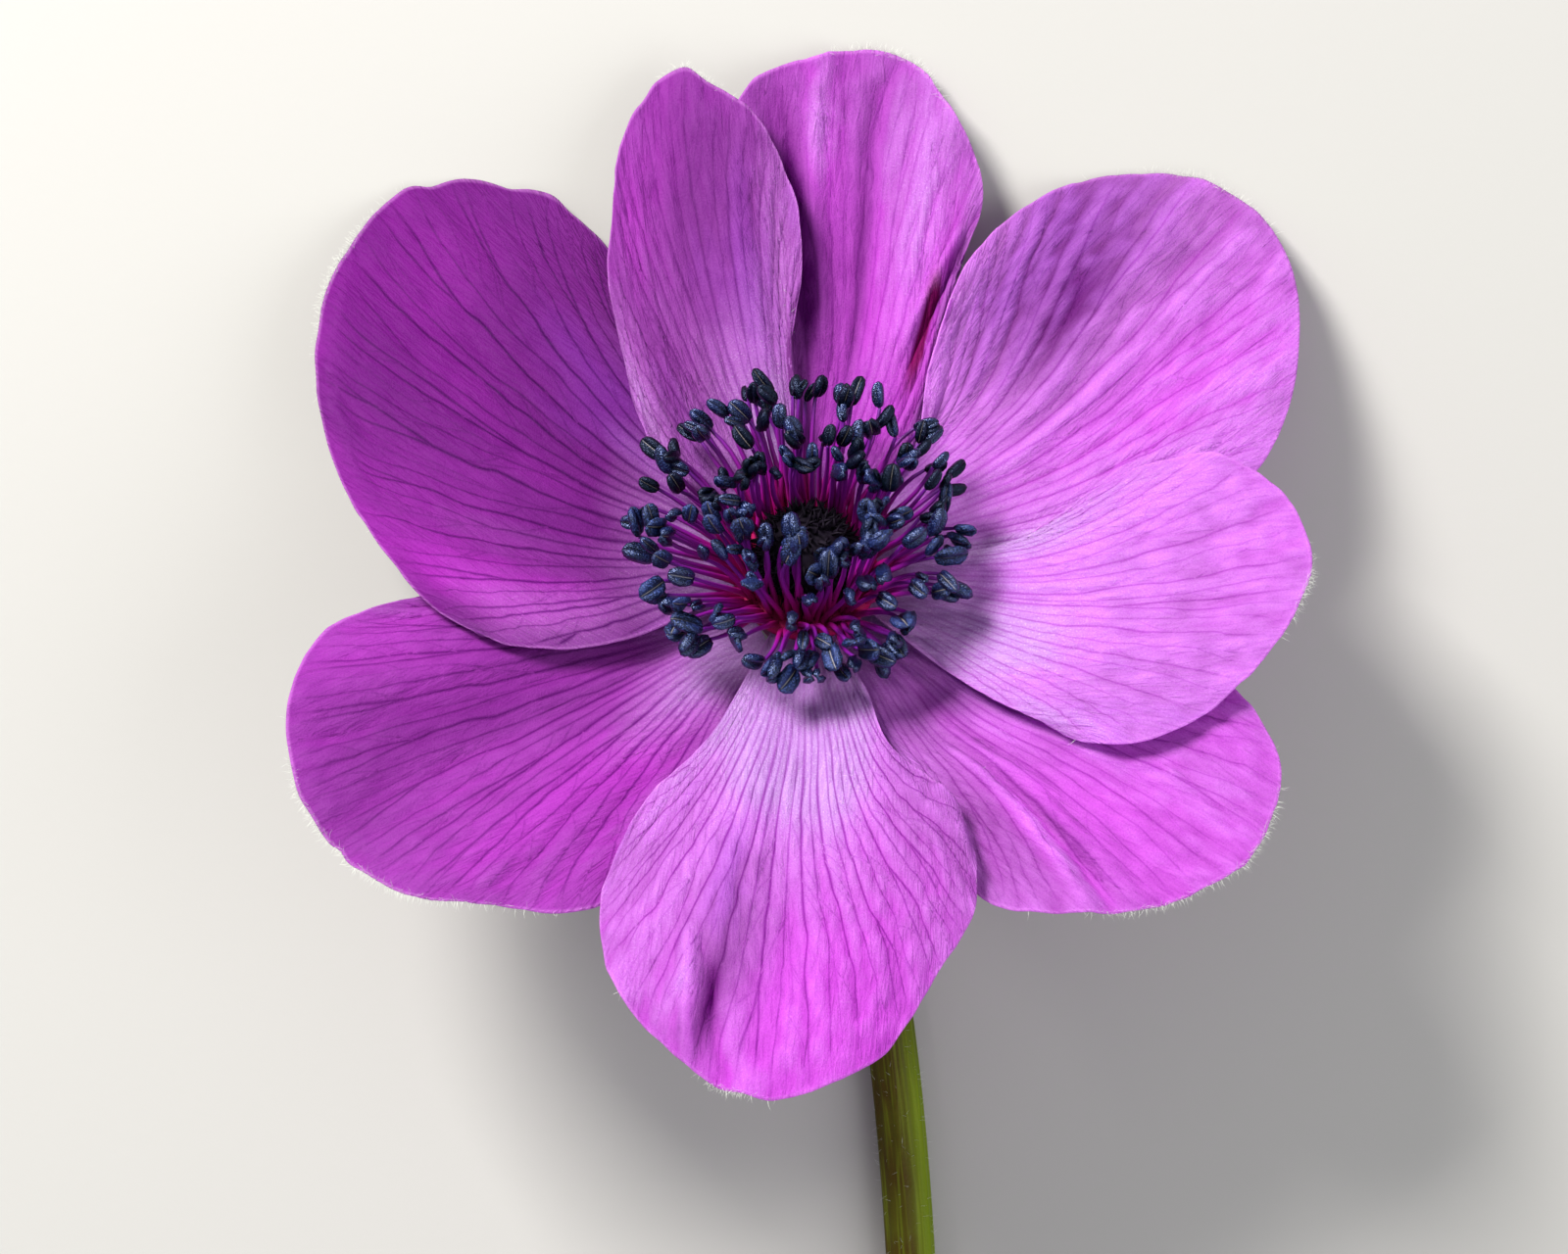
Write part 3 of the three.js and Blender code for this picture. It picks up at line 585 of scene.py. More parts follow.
def scatter_tree(material):
    """Plants copies of one object over a surface's downy places."""
    tree, nodes, given, result = new_group("Geometry", "scatter_on_surface", [
        ("Geometry", "Geometry"), ("Density", "Float"), ("Seed", "Int"), ("Shape", "Object"),
        ("Tilt", "Float"), ("Least size", "Float"), ("Largest size", "Float"),
    ], [("Geometry", "Geometry")])
    density = math_node(nodes, "MULTIPLY", point_value(nodes, "downy"), given.outputs["Density"])
    points = nodes.add("GeometryNodeDistributePointsOnFaces", inputs={
        "Mesh": given.outputs["Geometry"], "Density": density, "Seed": given.outputs["Seed"],
    })
    shape = nodes.add("GeometryNodeObjectInfo", inputs={"Object": given.outputs["Shape"]})
    tilt = given.outputs["Tilt"]
    back = math_node(nodes, "MULTIPLY", tilt, -1.0)
    lowest = nodes.add("ShaderNodeCombineXYZ", back, back, -math.pi)
    highest = nodes.add("ShaderNodeCombineXYZ", tilt, tilt, math.pi)
    copies = nodes.add("GeometryNodeInstanceOnPoints", inputs={
        "Points": points.outputs["Points"],
        "Instance": shape.outputs["Geometry"],
        "Rotation": random_turn(nodes, points.outputs["Rotation"], lowest, highest, given.outputs["Seed"]),
        "Scale": random_number(nodes, given.outputs["Least size"], given.outputs["Largest size"]),
    })
    real = nodes.add("GeometryNodeRealizeInstances", copies)
    coat = nodes.add("GeometryNodeSetMaterial", real, inputs={"Material": material})
    nodes.feed(result.inputs[0], coat)
    return tree


def tapered_hair(name, length, thickness, bend):
    """A three-sided hair that curves to one side."""
    stations = ((0, 1), (0.5, 0.75), (1, 0.12))
    points = []
    for share, size in stations:
        for k in range(3):
            angle = 2 * math.pi * k / 3
            points.append((
                bend * length * share**2 + size * thickness * math.cos(angle),
                size * thickness * math.sin(angle),
                length * share,
            ))
    faces = grid_faces(2, 3, closed=True) + [(6, 7, 8), (2, 1, 0)]
    return new_piece(name, points, faces)


# -------------------------------------------------------------- shader materials


def stepped(nodes, value, low, high, to_low=0.0, to_high=1.0):
    """A smooth step of a value between two limits."""
    node = nodes.add("ShaderNodeMapRange", value, low, high, to_low, to_high, interpolation_type="SMOOTHSTEP")
    return node.outputs[0]


def mixed(nodes, share, first, second, blend="MIX"):
    """The first colour where the share is 0, the second where it is 1."""
    node = nodes.add("ShaderNodeMix", data_type="RGBA", blend_type=blend, clamp_result=True)
    nodes.feed(node.inputs["Factor"], share)
    nodes.feed(node.inputs[6], first)
    nodes.feed(node.inputs[7], second)
    return node.outputs[2]


def colour(values):
    return (*values, 1.0)


def new_material(name):
    """An empty material and the builder of its tree."""
    material = bpy.data.materials.new(name)
    material.use_nodes = True
    material.node_tree.nodes.clear()
    return material, Nodes(material.node_tree)


def add_skin(nodes, base, roughness, specular=0.5, bump=None, others=()):
    """A skin's shader; others are further inputs by name."""
    return nodes.add("ShaderNodeBsdfPrincipled", inputs={
        "Base Color": base, "Roughness": roughness, "Specular IOR Level": specular, "Normal": bump,
        **dict(others),
    })


def show(nodes, shader):
    """Makes a shader the material's surface."""
    nodes.add("ShaderNodeOutputMaterial", shader)


def own_noise(nodes, scale, detail=2.0):
    """Noise that is fixed to the piece, with about scale grains to a metre."""
    place = nodes.add("ShaderNodeTexCoord").outputs["Object"]
    return nodes.add("ShaderNodeTexNoise", inputs={
        "Vector": place, "Scale": scale, "Detail": detail,
    }).outputs["Fac"]


def bumped(nodes, height, strength, distance):
    return nodes.add("ShaderNodeBump", inputs={
        "Strength": strength, "Distance": distance, "Height": height,
    })


def attribute(nodes, name):
    """A value that point_values gave, in a material."""
    return nodes.add("ShaderNodeAttribute", attribute_name=name, attribute_type="GEOMETRY").outputs["Fac"]


def make_tissue_group():
    """Fine cells, mottling and wrinkles that run with the length, for petals and stem."""
    tree, nodes, given, result = new_group("Shader", "plant_tissue", [
        ("Along", "Float"), ("Aside", "Float"), ("Cell Size", "Float", 0.12), ("Mottle Size", "Float", 3.0),
        ("Wrinkle Width", "Float", 0.45), ("Wrinkle Length", "Float", 1.8),
    ], [("Cells", "Float"), ("Mottle", "Float"), ("Wrinkles", "Float")])
    for label, output, detail in (("Cell Size", "Cells", 2.0), ("Mottle Size", "Mottle", 3.0)):
        scale = math_node(nodes, "DIVIDE", 1 / MM, given.outputs[label])
        nodes.feed(result.inputs[output], own_noise(nodes, scale, detail))
    across = math_node(nodes, "DIVIDE", given.outputs["Aside"], given.outputs["Wrinkle Width"])
    run = math_node(nodes, "DIVIDE", given.outputs["Along"], given.outputs["Wrinkle Length"])
    skin_place = nodes.add("ShaderNodeCombineXYZ", across, run, 0.0)
    wrinkles = nodes.add("ShaderNodeTexNoise", inputs={
        "Vector": skin_place, "Scale": 1.0, "Detail": 3.0, "Distortion": 0.6,
    })
    nodes.feed(result.inputs["Wrinkles"], wrinkles.outputs["Fac"])
    return tree


PAINTED_GLINT = (0.85, 0.75, 0.88, 1)  # painted glints: single cells of the pale foot painted near white
GRAIN_AND_HOLLOW_SHADE = (0.5, 0.04, 0.56, 1)  # tint of the skin's grain; it darkens the low places of the cells and wrinkles that make the bump, so it is partly grain and partly painted shade in their hollows
MOST_MOTTLE = 0.16
MOST_MAGENTA = 0.55
LIT_THROUGH = 0.64  # share of a blade's light that comes through it


def petal_material(name, look, settings, tissue_group):
    """A blade's skin: its violet, then its flushes, its pale foot with painted glints, a painted highlight
    along its rim, its veins, and its grain with painted shade in its hollows.
    """
    material, nodes = new_material(f"{name}_skin")
    tone, rim, vein, flush = (attribute(nodes, k) for k in ("tone", "rim", "vein", "flush"))
    tissue = nodes.add("ShaderNodeGroup", attribute(nodes, "along"), attribute(nodes, "aside"),
                       node_tree=tissue_group)
    cells, mottle, wrinkles = (tissue.outputs[k] for k in ("Cells", "Mottle", "Wrinkles"))
    light, deep, light_vein, deep_vein = (
        np.array(c) for c in (settings.light_violet, settings.deep_violet, settings.light_vein, settings.vein)
    )
    depth = look["depth"]
    violet = light * (1 - depth) + deep * depth
    violet[1] *= 1 - 0.5 * depth
    vein_tint = light_vein * (1 - depth) + deep_vein * depth
    mottled = math_node(nodes, "MULTIPLY", stepped(nodes, mottle, 0.4, 0.7), MOST_MOTTLE)
    blade = mixed(nodes, mottled, colour(violet), colour(deep))
    deepened = math_node(nodes, "MULTIPLY", tone, -1.0, clamp=True)
    blade = mixed(nodes, deepened, blade, colour(deep))
    bright = math_node(nodes, "SUBTRACT", 1.0, deepened)
    bright = math_node(nodes, "MULTIPLY", bright, stepped(nodes, flush, 0.0, 1.0, 0.0, MOST_MAGENTA))
    blade = mixed(nodes, bright, blade, colour(settings.magenta))
    # Crimson where the flush passes 1.2: partly a rolled margin's own colour, partly painted shade inside it.
    blade = mixed(nodes, stepped(nodes, flush, 1.2, 2.0), blade, colour(settings.crimson))
    cool = math_node(nodes, "MULTIPLY", flush, -0.5, clamp=True)
    blade = mixed(nodes, cool, blade, colour(settings.lilac))
    paled = math_node(nodes, "MULTIPLY", tone, 0.85, clamp=True)
    paler = mixed(nodes, stepped(nodes, tone, 0.35, 0.9), colour(light), colour(settings.pale_foot))
    blade = mixed(nodes, paled, blade, paler)
    # Painted glints: single cells of the pale foot are painted near white, as if they caught the light.
    glint_share = math_node(nodes, "MULTIPLY", stepped(nodes, cells, 0.6, 0.72, 0.0, 0.5), paled)
    blade = mixed(nodes, glint_share, blade, PAINTED_GLINT)
    # A painted highlight along the rim: the blade turns lighter within 0.3 mm of its edge.
    edge = stepped(nodes, rim, 0.05, 0.3, 0.28, 0.0)
    blade = mixed(nodes, edge, blade, colour(np.minimum(light * 1.25, 1)))
    line = math_node(nodes, "MULTIPLY", vein, look["veins"], clamp=True)
    blade = mixed(nodes, line, blade, colour(vein_tint), "MULTIPLY")
    # Grain and painted shade: the skin darkens where its cells and wrinkles are low, as the bump below has
    # them.
    grain = math_node(nodes, "MULTIPLY_ADD", cells, 0.7, 0.3)
    grain = math_node(nodes, "MULTIPLY_ADD", wrinkles, 0.7, grain)
    grain_and_hollow_shade = math_node(nodes, "SUBTRACT", 1.15, grain, clamp=True)
    blade = mixed(nodes, grain_and_hollow_shade, blade, GRAIN_AND_HOLLOW_SHADE, "MULTIPLY")
    bump = bumped(nodes, math_node(nodes, "MULTIPLY_ADD", cells, 0.3, wrinkles), 0.8, 0.00026)
    skin = add_skin(nodes, blade, 0.5, 0.08, bump, {"Sheen Weight": 0.02, "Sheen Roughness": 0.4})
    glow = nodes.add("ShaderNodeBsdfTranslucent", inputs={"Color": blade, "Normal": bump})
    show(nodes, nodes.add("ShaderNodeMixShader", LIT_THROUGH, skin, glow))
    return material


def plain_material(name, base, roughness, sheen=0.0, specular=0.5):
    material, nodes = new_material(name)
    show(nodes, add_skin(nodes, base, roughness, specular, others={"Sheen Weight": sheen}))
    return material


# ------------------------------------------------------------------------ petals


def spline_point(points, share):
    """A point on the smooth curve through all the points, by the share of its spans."""
    last = len(points) - 1
    place = last * np.asarray(share, float)
    span = np.minimum(np.floor(place).astype(int), last)
    t = (place - span)[..., None]
    at = lambda k: points[np.clip(k, 0, last)]
    p0, p1, p2, p3 = at(span - 1), at(span), at(span + 1), at(span + 2)
    v0, v1 = (p2 - p0) / 2, (p3 - p1) / 2
    return (2 * p1 - 2 * p2 + v0 + v1) * t**3 + (3 * p2 - 3 * p1 - 2 * v0 - v1) * t**2 + v0 * t + p1


def petal_rim(petal, look, share):
    """A point of the outline in the petal's own plan, with its lobes, notches and wobble."""
    half = ROOT_WIDTH / 2
    points = np.array([(ROOT_RADIUS, -half), *petal["outline"], (ROOT_RADIUS, half)], float)
    share = np.asarray(share, float)
    tiny = 0.001
    before, after = np.maximum(share - tiny, 0), np.minimum(share + tiny, 1)
    along = spline_point(points, after) - spline_point(points, before)
    along /= np.linalg.norm(along, axis=-1, keepdims=True)
    out = sum(
        height * lattice_noise(share * waves, 0.5, look["seed"] + seed) for height, waves, seed in RIM_WAVES
    )
    out = out * ease(np.minimum(share, 1 - share), 0.08, 0.2)
    for middle, height, width in look["rim"]:
        out = out + height * np.exp(-(((share - middle) / width) ** 2))
    outward = np.stack([along[..., 1], -along[..., 0]], -1)
    return spline_point(points, share) + out[..., None] * outward


def petal_plan(petal, look, u, v):
    """A petal's skin in its own plan: u from root to tip, v from side to side."""
    edge = lambda share: petal_rim(petal, look, share)
    end = 1 - SIDE_SHARE
    roots = edge(0), edge(1)
    corners = edge(SIDE_SHARE), edge(end)
    left, right = edge(SIDE_SHARE * u), edge(1 - SIDE_SHARE * u)
    tip = edge(SIDE_SHARE + (end - SIDE_SHARE) * v)
    u, v = u[..., None], v[..., None]
    root = roots[0] * (1 - v) + roots[1] * v
    across = left * (1 - v) + right * v
    lengthwise = root * (1 - u) + tip * u
    blend = root * (1 - u) + (corners[0] * (1 - v) + corners[1] * v) * u
    return across + lengthwise - blend


def even_sides(petal, look, u, across):
    """The v of each place that lies at a given share of its row's length."""
    v = np.linspace(0, 1, 4 * across.shape[1])
    plan = petal_plan(petal, look, *np.meshgrid(u[:, 0], v, indexing="ij"))
    run = np.concatenate([
        np.zeros((len(u), 1)), np.cumsum(np.linalg.norm(np.diff(plan, axis=1), axis=-1), axis=1),
    ], axis=1)
    evened = [np.interp(across[i], run[i] / run[i, -1], v) for i in range(len(u))]
    return np.array(evened), np.repeat(run[:, -1:], across.shape[1], 1)


def relaxed(plan, across):
    """The plan with the strips along its sides evened out, where they would fold over."""
    strip = 1 - ease(np.minimum(across, 1 - across), 0.15, 0.3)[1:-1, 1:-1, None]
    for _ in range(RELAX_ROUNDS):
        beside = plan[1:-1, 2:] + plan[1:-1, :-2] + plan[2:, 1:-1] + plan[:-2, 1:-1]
        plan[1:-1, 1:-1] += strip * (beside / 4 - plan[1:-1, 1:-1])
    return plan


def petal_height(petal, u, v, radius):
    """How high the skin is over the bloom's plane, as the solid has it."""
    fall = lambda distance: 1 - np.exp(-distance / BOWL_SOFTNESS)
    bowl = BOWL_DEPTH * fall(radius - ROOT_RADIUS) / fall(PETAL_REACH - ROOT_RADIUS)
    side = 2 * v - 1
    lift = petal["layer"] * (LAYER_STEP + LAYER_SPREAD * (radius - ROOT_RADIUS))
    pleat = np.sin(2 * math.pi * (PLEAT_COUNT * v + petal["pleat_phase"]))
    return (
        bowl + lift + petal["rise"] * u**3 + petal["arch"] * np.sin(math.pi * u)
        + petal["cup"] * side**2 * u + petal["curl"] * side**2 * u**4
        + petal["lean"] * side * u + petal["twist"] * side * u**4
        + PLEAT_DEPTH * pleat * u**2
    )


def grow_veins(settings, seed, span, length):
    """Veins that leave the root side by side and fork wherever they have spread too far.

    span is the petal's width in mm at even steps from root to tip. Each vein is a dict with
    its places, its rank, 0 for the main ones, and the strip that it feeds."""
    random = np.random.RandomState(seed)
    stations = np.linspace(0, 1, len(span))
    count = 2 * settings.main_veins - 1
    bounds = (np.arange(count + 1) + random.uniform(-0.22, 0.22, count + 1)) / count
    bounds[0], bounds[-1] = 0.0, 1.0
    strips = enumerate(zip(bounds[:-1], bounds[1:]))
    waiting = [(0.0, (low + high) / 2, low, high, 2 * (k % 2)) for k, (low, high) in strips]
    veins = []
    while waiting:
        start, place, low, high, rank = waiting.pop()
        goal = low + (high - low) * random.uniform(0.38, 0.62)
        gap = settings.vein_gap / MM * random.uniform(0.75, 1.6)
        wide = stations[(span * (high - low) > gap) & (stations > start + random.uniform(0.05, 0.16))]
        end = wide[0] if len(wide) and wide[0] < LAST_FORK else 1 - random.uniform(0.0, 0.03)
        u = np.linspace(start, end, max(int((end - start) * length / VEIN_STEP), 4))
        settle = 1 - (1 - np.clip((u - start) / random.uniform(0.14, 0.3), 0, 1)) ** 2
        key = random.uniform(0, 60)
        sway = lattice_noise(u * 9, key, seed) + 0.5 * lattice_noise(u * 24, key + 9, seed)
        across = place + (goal - place) * settle + 0.15 * (high - low) * sway * settle
        fanned = 0.5 + (across - 0.5) * (1 + settings.vein_fan * u**1.5)
        inside = (fanned > 0.003) & (fanned < 0.997)
        kept = len(u) if inside.all() else int(np.argmin(inside))
        forks = end < LAST_FORK and kept == len(u)
        if kept > 2:
            veins.append(dict(u=u[:kept], across=fanned[:kept], rank=rank, tip=not forks))
        if forks:
            middle = low + (high - low) * random.uniform(0.4, 0.6)
            first = random.randint(2)
            waiting.append((end, across[-1], low, middle, rank + first))
            waiting.append((end, across[-1], middle, high, rank + 1 - first))
    return veins


def cross_veins(settings, seed, veins, span, length):
    """Fine links that leave one vein at a sharp angle and join the next, toward the rim."""
    random = np.random.RandomState(seed + 300)
    links = []

    def passing(u):
        """Where the veins cross a row, from its right side to its left, with their numbers."""
        return sorted(
            (np.interp(u, vein["u"], vein["across"]), number)
            for number, vein in enumerate(veins) if vein["u"][0] <= u <= vein["u"][-1]
        )

    for u in random.uniform(0.35, LAST_FORK, settings.cross_veins):
        here = passing(u)
        k = random.randint(len(here))
        place, number = here[k]
        outward = 1 if place > 0.5 else -1
        if not 0 <= k + outward < len(here):
            continue
        gap = abs(here[k + outward][0] - place)
        ahead = u + random.uniform(1.6, 4.5) * gap * span[int(u * (len(span) - 1))] / length
        there = passing(ahead)
        numbers = [other for _, other in there]
        if ahead > 0.96 or number not in numbers:
            continue
        k = numbers.index(number) + outward
        if 0 <= k < len(there) and abs(there[k][0] - place) < 1.8 * gap:
            share = np.linspace(0, 1, 8)
            run = there[k][0] - place
            across = place + run * (share + 0.12 * np.sin(math.pi * share))
            links.append(dict(u=u + (ahead - u) * share, across=across, rank=3, tip=False))
    return links


def nearest_veins(veins, u, across, ranks):
    """For each row, the gap between the two veins beside each place and its share of that gap."""
    gap, share = np.empty_like(across), np.empty_like(across)
    kept = [v for v in veins if v["rank"] <= ranks]
    for i, row in enumerate(u[:, 0]):
        places = [np.interp(row, v["u"], v["across"]) for v in kept if v["u"][0] <= row <= v["u"][-1]]
        places = np.array([-0.02, *sorted(places), 1.02])
        k = np.clip(np.searchsorted(places, across[i]) - 1, 0, len(places) - 2)
        gap[i] = np.maximum(places[k + 1] - places[k], 1e-4)
        share[i] = np.clip((across[i] - places[k]) / gap[i], 0, 1)
    return gap, share


def smoothed(values, reach):
    """Values blurred from row to row, where a vein ends or starts between them."""
    kernel = np.hanning(2 * reach + 3)[1:-1]
    padded = np.pad(values, ((reach, reach), (0, 0)), mode="edge")
    return sum(k * padded[i:i + len(values)] for i, k in enumerate(kernel)) / kernel.sum()


def spots(table, u, across):
    """The sum of soft spots, each (along, across, length, width, amount)."""
    return sum(
        amount * np.exp(-(((u - u0) / length) ** 2) - ((across - w0) / width) ** 2)
        for u0, w0, length, width, amount in table
    )


def petal_relief(look, settings, veins, u, across, span, length):
    """The folds over the solid's form, in millimetres: bulges between the veins, the petal's
    own folds, long creases, puckers and a wavy rim."""
    seed, depth = look["seed"], settings.crease / MM * look["crease"]
    relief = np.zeros_like(u)
    for rank, share_of_height in ((0, 1.3), (2, 1.5)):
        gap, share = nearest_veins(veins, u, across, rank)
        bulge = np.minimum(gap * span, 3.0) / 3.0 * (4 * share * (1 - share)) ** 0.8
        vary = 0.6 + 0.8 * lattice_noise(across * 31, u * 9, seed + rank)
        relief += share_of_height * depth * smoothed(bulge * vary, 5)
    relief *= ease(u, 0.02, 0.3) * (1 - 0.35 * ease(u, 0.75, 1))
    rough = depth * span / span.max()
    for share, aside, along, own_seed, start, full in SKIN_WAVES:
        waves = lattice_noise(across * aside, u * along, seed + own_seed)
        relief += share * rough * waves * ease(u, start, full)
    crumple = 1 - 2 * np.abs(lattice_noise(across * 44 + 2 * u, u * 11, seed + 150))
    relief += crumple * spots(look["crinkles"], u, across)
    near_rim = np.maximum(0.3 * ease(np.abs(2 * across - 1), 0.86, 1.0), ease(u, 0.86, 1.0))
    relief += 1.6 * rough * lattice_noise(across * 17, u * 8, seed + 160) * near_rim * ease(u, 0.3, 0.7)
    for u0, w0, u1, w1, height, width in look["folds"]:
        run, rise = (u1 - u0) * length, (w1 - w0) * span
        ahead = (u - u0) * length
        aside = (across - w0 + 0.006 * lattice_noise(u * 12, 0.3, seed + 7)) * span
        reach = np.hypot(run, rise)
        share = (ahead * run + aside * rise) / reach**2
        offset = (aside * run - ahead * rise) / reach / width
        past = np.maximum(np.abs(share - 0.5) - 0.5, 0) * reach / (1.5 * abs(width) + 1.5)
        relief += height * np.exp(-np.abs(offset) ** 1.4 - past**2)
    return relief


def petal_tone(look, u, across):
    """How pale (above 0) or deep (below 0) the skin is."""
    tone = 0.1 * lattice_noise(across * 11, u * 3, look["seed"] + 70)
    tone = tone + ease(u, look["pale"] + 0.1, 0.05) * 0.9 + spots(look["tints"], u, across)
    return np.clip(tone, -1, 1)


def petal_flush(look, u, across):
    """How lilac (below 0), magenta (up to 1) or crimson (above it) the skin is."""
    flush = 0.16 * lattice_noise(across * 5, u * 2.5, look["seed"] + 90)
    flush = flush + 0.12 * lattice_noise(across * 14, u * 6, look["seed"] + 95)
    return np.clip(flush + spots(look["flushes"], u, across), -1, 2)


def on_grid(values, u, across):
    """Values of a petal's grid at any place, straight between its points."""
    rows, columns = values.shape[0] - 1, values.shape[1] - 1
    x, y = np.clip(u, 0, 1) * rows, np.clip(across, 0, 1) * columns
    i, j = np.minimum(x.astype(int), rows - 1), np.minimum(y.astype(int), columns - 1)
    a, b = (x - i)[:, None], (y - j)[:, None]
    low = values[i, j] * (1 - b) + values[i, j + 1] * b
    high = values[i + 1, j] * (1 - b) + values[i + 1, j + 1] * b
    return low * (1 - a) + high * a


def vein_ribbons(settings, look, veins, surface, normal, span, length):
    """A low ridge along each vein, laid on one of the petal's faces, wider on a deep petal.

    Returns points, faces, each point's place on the petal and how dark it is."""
    points, faces, places, dark = [], [], [], []
    width = settings.vein_width / MM * (0.8 + 0.5 * look["depth"])
    for number, vein in enumerate(veins):
        u, across, rank = vein["u"], vein["across"], min(vein["rank"], 3)
        wide = np.interp(u, np.linspace(0, 1, len(span)), span)
        run, rise = np.gradient(u) * length, np.gradient(across) * wide
        half = width / 2 * VEIN_WIDTHS[rank] * (1.15 - 0.5 * u)
        half = half * (1 + 0.3 * lattice_noise(u * 20, number * 0.7, look["seed"])) / np.hypot(run, rise)
        darkness = VEIN_DARKNESS[rank] * (0.3 + 0.7 * ease(u, 0.1, 0.4) - 0.25 * ease(u, 0.6, 1.0))
        if vein["tip"]:
            darkness = darkness * np.minimum(np.arange(len(u), 0, -1) / 6, 1)
        rows = []
        for side, lift in ((-1, 0.4), (0, 1), (1, 0.4)):
            at_u = np.clip(u - side * half * rise / length, 0, 1)
            at_across = np.clip(across + side * half * run / wide, 0, 1)
            lifted = lift * settings.vein_lift / MM * on_grid(normal, at_u, at_across)
            rows.append(on_grid(surface, at_u, at_across) + lifted)
            places.append(np.stack([at_u, at_across], -1))
            dark.append(darkness * (1 - abs(side)))
        start = sum(len(part) for part in points)
        count = len(u)
        points += rows
        for k in range(count - 1):
            for j in (0, count):
                a, b = start + j + k, start + j + count + k
                faces.append((a, a + 1, b + 1, b))
    return np.concatenate(points), faces, np.concatenate(places), np.concatenate(dark)


def blade_faces(rows, columns):
    """The faces of a blade's two sides, each a grid of points, and of the rim that joins them."""
    size = (rows + 1) * (columns + 1)
    at = lambda i, j: i * (columns + 1) + j
    edge = [at(0, j) for j in range(columns)] + [at(i, columns) for i in range(rows)]
    edge += [at(rows, j) for j in range(columns, 0, -1)] + [at(i, 0) for i in range(rows, 0, -1)]
    rim = [(b, a, a + size, b + size) for a, b in zip(edge, edge[1:] + edge[:1])]
    return grid_faces(rows, columns) + grid_faces(rows, columns, size, flip=True) + rim


def blade_shades(look, relief, u, across, span, length):
    """What a blade's material reads at each place, with painted light and shade on its folds."""
    ridges = relief - smoothed(smoothed(relief, 6).T, 6).T
    # Painted light and shade on the folds: ridges paler, valleys deeper and flushed magenta.
    tone = petal_tone(look, u, across) + (1 - look["depth"]) * np.clip(RIDGE_PAINTED_LIGHT * ridges, -0.2, 0.3)
    flush = petal_flush(look, u, across)
    flush += (1 - 0.6 * look["depth"]) * np.clip(-VALLEY_PAINTED_SHADE * ridges, -0.1, 0.5)
    rim = np.minimum(np.minimum(across, 1 - across) * span, (1 - u) * length)
    return {"along": u * length, "aside": (across - 0.5) * span, "rim": rim, "tone": tone, "flush": flush}


def make_petal(name, settings, material):
    """A petal's blade: two veined sides over its solid's form, joined around the rim."""
    petal, look = PETALS[name], PETAL_LOOKS[name]
    rows, columns = settings.rows, settings.columns
    u, across = np.meshgrid(np.linspace(0, 1, rows + 1), np.linspace(0, 1, columns + 1), indexing="ij")
    v, span = even_sides(petal, look, u, across)
    plan = relaxed(petal_plan(petal, look, u, v), across)
    length = np.linalg.norm(np.diff(plan, axis=0), axis=-1).sum(0).mean()
    veins = grow_veins(settings, look["seed"], span[:, 0], length)
    links = cross_veins(settings, look["seed"], veins, span[:, 0], length)
    # Creases and the back's down fade out where the plan is so crowded that it folds over.
    room = np.cross(np.gradient(plan, axis=0), np.gradient(plan, axis=1))
    room = ease(smoothed(room / np.median(room), 2), 0, 0.3)
    relief = petal_relief(look, settings, veins, u, across, span, length) * room
    shades = blade_shades(look, relief, u, across, span, length)
    rim = shades["rim"]
    turn = math.radians(petal["bearing"])
    x = plan[..., 0] * math.cos(turn) - plan[..., 1] * math.sin(turn)
    y = plan[..., 0] * math.sin(turn) + plan[..., 1] * math.cos(turn)
    height = petal_height(petal, u, v, np.linalg.norm(plan, axis=-1))
    middle = np.stack([x, y, height + relief], -1)
    normal = np.cross(np.gradient(middle, axis=0), np.gradient(middle, axis=1))
    normal /= np.maximum(np.linalg.norm(normal, axis=-1, keepdims=True), 1e-12)
    swell = RIM_THICKNESS + (1 - RIM_THICKNESS) * ease(rim, 0, RIM_TAPER)
    half = settings.thickness / MM / 2 * swell[..., None]
    tufts = 0.004 + 1.3 * sum(np.exp(-(((across - place) / width) ** 2)) for place, width in look["fuzz"])
    fringe = 11 * ease(rim, 0.12, 0.0) * ease(u, 0.85, 0.98) * tufts
    faces = blade_faces(rows, columns)
    points = [(middle + side * half * normal).reshape(-1, 3) for side in (-1, 1)]
    values = {label: [shade.ravel()] * 2 for label, shade in shades.items()}
    values["vein"] = [np.zeros(2 * u.size)]
    values["downy"] = [(0.2 * room * ease(rim, 1.4, 3.0) + fringe).ravel(), fringe.ravel()]
    for side in (-1, 1):
        surface = middle + side * half * normal
        there, more, places, dark = vein_ribbons(
            settings, look, veins + links, surface, side * normal, span[:, 0], length
        )
        start = sum(len(part) for part in points)
        points.append(there)
        faces += [tuple(start + k for k in (face if side < 0 else face[::-1])) for face in more]
        values["vein"].append(dark)
        for label, shade in shades.items():
            values[label].append(on_grid(shade[..., None], places[:, 0], places[:, 1])[:, 0])
        values["downy"].append(np.zeros(len(dark)))
    piece = new_piece(f"{name}_blade", Bloom.to_part(np.concatenate(points)), faces, [material])
    for label, parts in values.items():
        point_values(piece, label, np.concatenate(parts))
    return piece


class ANEMONE_OT_petals(bpy.types.Operator):
    """Makes the eight petals as thin veined blades in place of their solids"""

    bl_idname = "anemone.petals"
    bl_label = "Petals"

    def execute(self, context):
        settings = context.scene.anemone_petals
        tissue = make_tissue_group()
        for name in PETALS:
            material = petal_material(name, PETAL_LOOKS[name], settings, tissue)
            finish_piece(make_petal(name, settings, material), name)
        return {"FINISHED"}


# ---------------------------------------------------------------------- stamens

